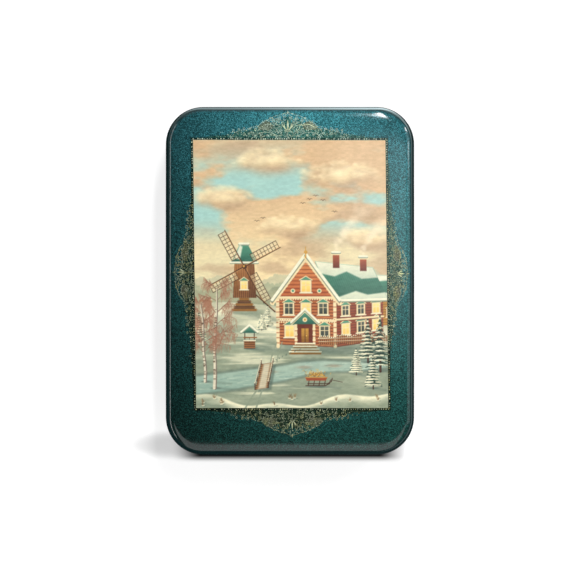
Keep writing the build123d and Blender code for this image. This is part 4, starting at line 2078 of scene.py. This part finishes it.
    def _fir(self, place: Point, tall: float) -> None:
        """A fir with snow on its boughs.

        Args:
            place: The foot of its trunk.
            tall: Its height.
        """
        c = self.colours
        self.stand(place)
        self._ground_shade((0, 0), tall * 0.3, tall * 0.045)
        self.line([(0, -0.3), (0, tall * 0.2)], tall * 0.045, c.umber)
        tiers = 11
        for tier in range(tiers):
            share = tier / (tiers - 1)
            rise = tall * (0.10 + 0.86 * share)
            wide = tall * 0.27 * (1 - share) ** 0.85 + 0.25
            for _ in range(int(26 * (1 - share) + 6)):
                out = self.chance.uniform(-1, 1)
                tip = rise - abs(out) * tall * 0.035 + self.chance.normal(0, 0.2)
                needle = [(out * wide * 0.2, rise + tall * 0.055), (out * wide, tip)]
                self.line(needle, 0.42, c.fir_dark if self.chance.uniform() < 0.5 else c.fir, 0.85, 0.16)
            for _ in range(int(13 * (1 - share) + 3)):
                out = self.chance.uniform(-0.95, 0.95)
                s, t = out * wide * 0.82, rise - abs(out) * tall * 0.02 + tall * 0.016
                half = 0.5 * (1 - share) + 0.15
                tone = c.snow_light if out < 0.25 else c.snow
                self.line([(s - half, t), (s + half, t - 0.08)], 0.42, tone, 0.9)
        self.stand()

    def _birch(self, place: Point, tall: float, lean: float) -> None:
        """A birch with fine hanging twigs.

        Args:
            place: The foot of its trunk.
            tall: Its height.
            lean: How far its top stands to the right of its foot.
        """
        c = self.colours
        self.stand(place)
        self._ground_shade((0.6, 0), 3.0, 0.6)
        parts = 8
        shares = np.linspace(0, 1, parts + 1)
        bends = lean * shares**1.6 + 0.25 * np.sin(shares * parts * 1.3)
        trunk = list(zip(bends, tall * shares))
        for step in range(3, parts + 1):
            for hand in (-1, 1):
                angle = math.pi / 2 - hand * self.chance.uniform(0.5, 0.95)
                self._limb(trunk[step], angle, tall * (0.24 - 0.016 * step), 0.42, 1)
        self.line(moved(trunk, 0.35, 0), tall * 0.034, c.bark_shade, 1.0, 0.3)
        self.line(trunk, tall * 0.028, c.bark, 1.0, 0.25)
        for _ in range(int(tall * 0.9)):
            share = self.chance.uniform(0.02, 0.8)
            s, t = np.interp(share, shares, bends), tall * share
            self.line([(s - 0.4, t), (s + self.chance.uniform(-0.1, 0.4), t)], 0.24, c.umber, 0.85)
        self.stand()

    def _limb(self, start: Point, angle: float, length: float, width: float, depth: int) -> None:
        """A birch's bough, which divides into twigs.

        Args:
            start: Where it leaves the trunk.
            angle: The way that it starts.
            length: Its length.
            width: Its width.
            depth: How often it still divides.
        """
        c = self.colours
        points, turn, parts = [start], angle, 4
        for _ in range(parts):
            turn += self.chance.normal(-0.10 if math.cos(turn) > 0 else 0.10, 0.09)
            s, t = points[-1]
            points.append((s + math.cos(turn) * length / parts, t + math.sin(turn) * length / parts))
        self.line(points, width, c.twig if width < 0.4 else c.bough, 0.8, width * 0.4)
        if depth > 0:
            for spot in points[2:]:
                for hand in (-1, 1):
                    aside = turn + hand * self.chance.uniform(0.35, 0.8)
                    self._limb(spot, aside, length * 0.55, width * 0.55, depth - 1)
            return
        for s, t in points[1:]:
            for _ in range(3):
                drop, aside = self.chance.uniform(1.0, 3.0), self.chance.normal(0, 0.6)
                hanging = [(s, t), (s + aside * 0.5, t - drop * 0.5), (s + aside, t - drop)]
                self.line(hanging, 0.14, c.twig_fine, 0.6)

    def _foreground(self) -> None:
        """Snow banks, tracks, firs and birches along the front."""
        c = self.colours
        rows, columns = self.t[:, None], self.s[None, :]
        bank = 3.6 + 2.4 * np.sin(columns / 13.0 + 2.2) + 1.0 * np.sin(columns / 4.1)
        light = smoothstep(-4.5, 0.2, rows - bank) + (self.cloud(8.0, 2.2, 4) - 0.5)
        self._wash(np.clip((bank - rows) / 0.5, 0, 1) * 0.95, self._blend(c.snow_shade, c.snow_light, light))
        for side in (0.0, 2.2):
            upper = [(33.0 + side, 26.5), (31.0 + side * 1.1, 21.0), (30.4 + side * 1.2, 18.6)]
            lower = [(24.6 + side, 7.0), (22.0 + side * 1.6, 3.4), (20.0 + side * 2, 0.0)]
            self.line(upper, 0.5, c.snow_shade, 0.8)
            self.line(lower, 0.7, c.snow_shade, 0.8)
        firs = ((70.0, 18.6, 17.0), (75.0, 15.0, 22.0), (65.2, 13.6, 10.0), (72.0, 8.0, 13.0),
                (1.6, 27.0, 11.0), (29.4, 33.0, 8.0), (27.0, 31.6, 6.0))
        for s, t, tall in firs:
            self._fir((s, t), tall)
        self._birch((7.4, 8.0), 40.0, 1.6)
        self._birch((3.6, 10.6), 31.0, -1.2)
        for _ in range(15):
            self._tuft(self.chance.uniform(2, 76), self.chance.uniform(0.6, 4.2))

    def _tuft(self, s: float, t: float) -> None:
        """A tuft of dry grass in the snow.

        Args:
            s: Its place across the picture.
            t: Its place up the picture.
        """
        c = self.colours
        self.puff((s + 0.5, t - 0.1), 1.3, 0.35, c.snow_deep, 0.45, 0.8)
        for _ in range(9):
            lean, tall = self.chance.normal(0, 0.34), self.chance.uniform(0.7, 1.9)
            tone = c.grass if self.chance.uniform() < 0.6 else c.grass_dark
            blade = [(s + lean * 0.3, t), (s + lean * 0.7, t + tall * 0.6), (s + lean * 1.5, t + tall)]
            self.line(blade, 0.13, tone, 0.75)
        self.puff((s, t + 0.05), 0.9, 0.3, c.snow_light, 0.8, 0.6)

    def _brushwork(self) -> None:
        """The grain of the brush and a warm old varnish over all of it."""
        grain, broad = self.cloud(1.6, 0.7, 3) - 0.5, self.cloud(9.0, 9.0, 3) - 0.5
        self.paint += grain[..., None] * 20 + broad[..., None] * np.array((10, 8, 4))
        middle, contrast, varnish = 150.0, 1.10, np.array((1.0, 0.98, 0.93))
        self.paint = ((self.paint - middle) * contrast + middle) * varnish


@dataclass
class Picture(OnLid):
    """The painted view as thin panels that lie on the dome one above the other."""

    area: Field = Field()
    cell: float = 0.2
    lift: float = 0.012 * MM
    names: tuple[str, ...] = ("picture_ground", "picture_village", "picture_sky")

    def build(self) -> None:
        """Paints the view and lays it on the lid."""
        view = WinterView(self.cell)
        paint = decoded(view.complete() / 255)
        cuts = np.linspace(0, view.rows - 1, len(self.names) + 1).round().astype(int).tolist()
        for name, first, last in zip(self.names, cuts[:-1], cuts[1:]):
            self._panel(name, view, paint[first : last + 1], first)

    def _panel(self, name: str, view: WinterView, paint: Array, first: int) -> None:
        """One panel of the painted field.

        Args:
            name: The piece's name.
            view: The view, for its measures.
            paint: The linear colours of the panel's rows.
            first: The field's row that the panel starts at.
        """
        deselect_all()
        steps = (view.columns - 1, len(paint) - 1)
        bpy.ops.mesh.primitive_grid_add(
            x_subdivisions=steps[0], y_subdivisions=steps[1], size=1.0, location=(0, 0, 0)
        )
        piece = bpy.context.object
        piece.name = piece.data.name = name
        mesh = piece.data
        places = places_of(mesh)
        columns, rows = np.rint((places[:, :2] + 0.5) * steps).astype(int).T
        flat = self.area.to_lid(view.s[columns], view.t[rows + first])
        move_points(mesh, self.form.lifted(flat, self.lift))
        colours = np.ones((len(places), 4))
        colours[:, :3] = paint[rows, columns]
        layer = mesh.color_attributes.new("paint", "FLOAT_COLOR", "POINT")
        layer.data.foreach_set("color", colours.reshape(-1))
        mesh.shade_smooth()
        mesh.materials.clear()
        mesh.materials.append(self.finishes.picture)
        self.enter(piece, Slot.PICTURE)


# Studio


@dataclass
class SoftBox:
    """One soft light, set up by where it stands and where it points."""

    name: str
    place: tuple[float, float, float]
    aim: tuple[float, float, float]
    width: float
    height: float
    radiance: float
    colour: Colour = (1.0, 1.0, 1.0)
    fade: Point | None = None
    shape: str = "RECTANGLE"

    def build(self) -> None:
        """Makes the light."""
        data = bpy.data.lights.new(self.name, "AREA")
        data.shape = self.shape
        data.size = self.width
        data.size_y = self.height
        data.color = self.colour
        data.energy = self.radiance * math.pi * self.width * self.height
        if self.fade is not None:
            self._fade(data)
        lamp = bpy.data.objects.new(self.name, data)
        lamp.location = self.place
        lamp.rotation_euler = (Vector(self.aim) - Vector(self.place)).to_track_quat("-Z", "Y").to_euler()
        lamp.visible_camera = False
        bpy.context.scene.collection.objects.link(lamp)

    def _fade(self, data: bpy.types.Light) -> None:
        """Lets the light die away along its height, between two shares of it.

        Args:
            data: The light.
        """
        data.use_nodes = True
        lamp = Nodes(data.node_tree)
        along = lamp.node("SeparateXYZ", None, Vector=lamp.node("NewGeometry").outputs["Parametric"])
        level = lamp.ramp(along.outputs["Y"], *self.fade, smooth=True)
        glow = lamp.node("Emission", None, Color=WHITE, Strength=level)
        lamp.node("OutputLight", None, Surface=glow.outputs[0])


@dataclass
class Studio:
    """Floor, surroundings, lights and the camera over the lid."""

    form: LidForm
    camera_height: float = 1.0
    sensor: float = 36.0
    picture_side: float = 580.0
    pixels_per_metre: float = 2486.0
    middle_pixel: Point = (289.98, 280.75)
    floor_half: float = 3.0
    floor_grey: float = 0.50
    floor_glow: float = 0.68
    # floor_dark, floor_far, floor_right and floor_tint set a painted reflection: a glow by place that only
    # glossy rays see.
    floor_dark: float = 0.04
    floor_far: float = 4.6
    floor_right: float = 2.0
    floor_tint: Colour = (0.80, 1.0, 1.03)
    floor_drop: float = 0.03 * MM
    # Where the painted reflection glow lies: behind the box, and far to the right.
    mirror_behind: Point = (22 * MM, 52 * MM)
    mirror_aside: Point = (60 * MM, 300 * MM)
    mirror_across: Ramp = (-40 * MM, 62 * MM, 0.66, 1.9)
    mirror_right_end: Ramp = (56 * MM, 90 * MM, 1.0, 0.42)
    mirror_left_end: Ramp = (-88 * MM, -52 * MM, 0.26, 1.0)
    # Painted shadows on the floor, by place: a dark contact strip along the box's front edge, and a soft
    # painted shadow patch left of the front corner; dusk sets that patch's depth.
    shadow_front: Point = (-5.5 * MM, -2.3 * MM)
    shadow_back: Point = (9 * MM, 5 * MM)
    shadow_ends: Point = (50 * MM, 37 * MM)
    shadow_blob_middle: Point = (-48 * MM, 2 * MM)
    shadow_blob_reach: Point = (14 * MM, 4.4 * MM)
    dusk: Ramp = (2.4, 0.1, 1.0, 0.64)
    room_dark_above: float = 0.75
    room_pale_below: float = 0.15
    room_zenith: float = 0.03
    room_horizon: float = 0.12

    def build(self) -> None:
        """Sets up the whole studio."""
        self._camera()
        self._world()
        self._floor()
        for box in self._boxes():
            box.build()
        bpy.context.scene.view_settings.view_transform = "Standard"

    def _camera(self) -> None:
        """Places the camera straight over the lid, framed as in the photograph."""
        data = bpy.data.cameras.new("camera")
        data.sensor_width = self.sensor
        data.lens = self.sensor * self.camera_height * self.pixels_per_metre / self.picture_side
        data.clip_start = 0.01
        data.clip_end = 20.0
        camera = bpy.data.objects.new("camera", data)
        middle = self.picture_side / 2
        across = (middle - self.middle_pixel[0]) / self.pixels_per_metre
        along = (self.middle_pixel[1] - middle) / self.pixels_per_metre
        camera.location = (across, along, self.form.top - self.form.roll_radius + self.camera_height)
        bpy.context.scene.collection.objects.link(camera)
        bpy.context.scene.camera = camera

    def _world(self) -> None:
        """Surrounds the box with a room that is dark overhead and pale low down, and white to the camera."""
        world = bpy.data.worlds.new("room")
        world.use_nodes = True
        room = Nodes(world.node_tree)
        direction = room.node("TexCoord").outputs["Generated"]
        height = room.node("SeparateXYZ", None, Vector=direction).outputs["Z"]
        reach = (self.room_dark_above, self.room_pale_below)
        level = room.ramp(height, *reach, self.room_zenith, self.room_horizon, smooth=True)
        around = room.node("Background", None, Color=WHITE, Strength=level).outputs[0]
        seen = room.node("Background", None, Color=WHITE, Strength=1.0).outputs[0]
        to_camera = room.node("LightPath").outputs["Is Camera Ray"]
        mix = room.node("MixShader", None, i0=to_camera, i1=around, i2=seen)
        room.node("OutputWorld", None, Surface=mix.outputs[0])
        bpy.context.scene.world = world

    def _floor(self) -> None:
        """Lays a pale floor that shows white to the camera, with the box's shadow kept, painted shadows near
        its front, and a painted glow seen only in reflections.
        """
        deselect_all()
        bpy.ops.mesh.primitive_plane_add(size=2 * self.floor_half, location=(0, 0, -self.floor_drop))
        floor = bpy.context.object
        floor.name = "floor"
        tree = Tree("floor_white")
        path = tree.node("LightPath").outputs
        # The painted shadows darken both the floor's colour and its glow.
        unshadowed_share = self._unshadowed_share(tree)
        grey = tree.product(unshadowed_share, self.floor_grey)
        pale = tree.node("CombineXYZ", None, X=grey, Y=grey, Z=grey).outputs[0]
        tree.set(base_color=pale, roughness=0.9, specular_ior_level=0.1)
        plain = tree.shader.outputs[0]
        lit = tree.product(unshadowed_share, self.floor_glow)
        glow = tree.node("Emission", None, Color=WHITE, Strength=lit).outputs[0]
        both = tree.node("AddShader", None, i0=plain, i1=glow).outputs[0]
        shown = tree.node("MixShader", None, i0=path["Is Camera Ray"], i1=plain, i2=both).outputs[0]
        # A painted reflection: emission by place that only glossy rays see.
        colour = (*self.floor_tint, 1.0)
        mirrored = tree.node("Emission", None, Color=colour, Strength=self._mirrored(tree)).outputs[0]
        mix = tree.node("MixShader", None, i0=path["Is Glossy Ray"], i1=shown, i2=mirrored)
        tree.fill(tree.output.inputs["Surface"], mix.outputs[0])
        floor.data.materials.append(tree.material)

    def _mirrored(self, tree: Tree) -> Socket:
        """Painted reflection: how brightly the floor glows to glossy rays alone, brightest behind the box,
        and far to the right.

        Args:
            tree: The floor's nodes.

        Returns:
            The brightness.
        """
        x, y, _ = tree.spot()
        side, back = self.form.half_width, self.form.half_length
        behind = [back + reach for reach in self.mirror_behind]
        aside = [side + reach for reach in self.mirror_aside]
        bright = tree.product(
            tree.ramp(x, *self.mirror_right_end, smooth=True),
            tree.ramp(x, *self.mirror_left_end, smooth=True),
            tree.ramp(x, *self.mirror_across, smooth=True),
            tree.ramp(y, *behind, self.floor_dark, self.floor_far, smooth=True),
        )
        return tree.math("MAXIMUM", bright, tree.ramp(x, *aside, high=self.floor_right, smooth=True))

    def _unshadowed_share(self, tree: Tree) -> Socket:
        """How far the floor lies outside its painted shadows: a dark painted contact shadow along the front
        edge, and a soft painted shadow left of it.

        Args:
            tree: The floor's nodes.

        Returns:
            A share of 1 on the open floor.
        """
        x, y, _ = tree.spot()
        front = -self.form.half_length
        # A painted contact shadow along the box's front edge.
        strip = tree.product(
            tree.ramp(y, *[front + reach for reach in self.shadow_front], smooth=True),
            tree.ramp(y, *[front + reach for reach in self.shadow_back]),
            tree.ramp(tree.math("ABSOLUTE", x), *self.shadow_ends, smooth=True),
        )
        # A soft painted shadow patch left of the front corner.
        across = tree.math("SUBTRACT", x, self.shadow_blob_middle[0])
        along = tree.math("SUBTRACT", y, front + self.shadow_blob_middle[1])
        shares = [tree.product(far, 1 / reach) for far, reach in zip((across, along), self.shadow_blob_reach)]
        squared = tree.math("ADD", *[tree.product(share, share) for share in shares])
        dusk = tree.ramp(squared, *self.dusk, smooth=True)
        return tree.product(tree.math("SUBTRACT", 1.0, strip), dusk)

    def _boxes(self) -> list[SoftBox]:
        """The soft lights, high and to the right as in the photograph.

        Returns:
            The lights to build.
        """
        lid, veil = (0.0, 0.0, self.form.top), (0.252, 0.015, 0.936)
        key, foot = (0.162, 0.63, 0.90), (0.118, 0.33, 0.90)
        return [
            SoftBox("key", key, (0.162, 0.0, 0.036), 0.115, 0.67, 21.5, shape="ELLIPSE"),
            SoftBox("key_foot", foot, (0.118, 0.0, 0.036), 0.044, 0.19, 24.0, shape="ELLIPSE"),
            SoftBox("veil_panel", veil, (0.252, 0.015, 0.0), 0.40, 0.30, 1.25, fade=(0.0, 0.65)),
            SoftBox("right_panel", (0.95, 0.10, 0.75), lid, 0.9, 0.75, 1.0),
            SoftBox("near_window", (1.05, 0.20, 0.90), lid, 0.06, 0.06, 30.0),
            SoftBox("far_window", (1.52, 0.93, 0.90), lid, 0.20, 0.24, 36.0),
            SoftBox("front_panel", (0.0, -0.70, 0.74), lid, 1.3, 1.20, 1.40),
            SoftBox("back_panel", (0.0, 1.02, 0.34), lid, 1.5, 0.36, 0.5, (0.86, 1.0, 1.04)),
            SoftBox("left_strip", (-0.95, 0.0, 0.42), lid, 1.6, 0.07, 9.0),
        ]


def main() -> None:
    """Builds the box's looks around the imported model."""
    logging.basicConfig(level=logging.INFO, format="%(name)s %(message)s")
    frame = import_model()
    form = LidForm.from_frame()
    finishes = Finishes()
    LidShell(form, finishes).build()
    EdgeLine(form, finishes).build()
    Picture(form, finishes).build()
    at_side = {"bloom": 0.80, "fleur_at": 6.9, "fullness": 0.16, "lobe_drop": 0.84, "lobe_share": 0.62}
    for crest in (
        Crest(form, finishes, Side.TOP, (-0.9, 56.9), 22.0, 11.8, 11),
        Crest(form, finishes, Side.BOTTOM, (0.9, -51.3), 22.5, 12.0, 23, bloom=0.80, fleur_at=6.3),
        Crest(form, finishes, Side.LEFT, (-38.5, 3.4), 24.5, 8.9, 37, **at_side),
        Crest(form, finishes, Side.RIGHT, (39.3, 2.8), 24.5, 8.9, 41, **at_side),
    ):
        crest.build()
    dress = (
        (finishes.lined, ("body_wall", "base_plate", "lid_frame")),
        (finishes.red, ("lip_liner",)),
        (finishes.brass, ("hinge_body_leaf", "hinge_lid_leaf", "hinge_body_nails", "hinge_lid_nails")),
        (finishes.steel, ("hinge_pin",)),
    )
    for material, names in dress:
        for name in names:
            for slot in frame["nodes"][name].material_slots:
                slot.material = material
            LOG.info("%s: dressed in %s", name, material.name)
    Studio(form).build()


if __name__ == "__main__":
    main()
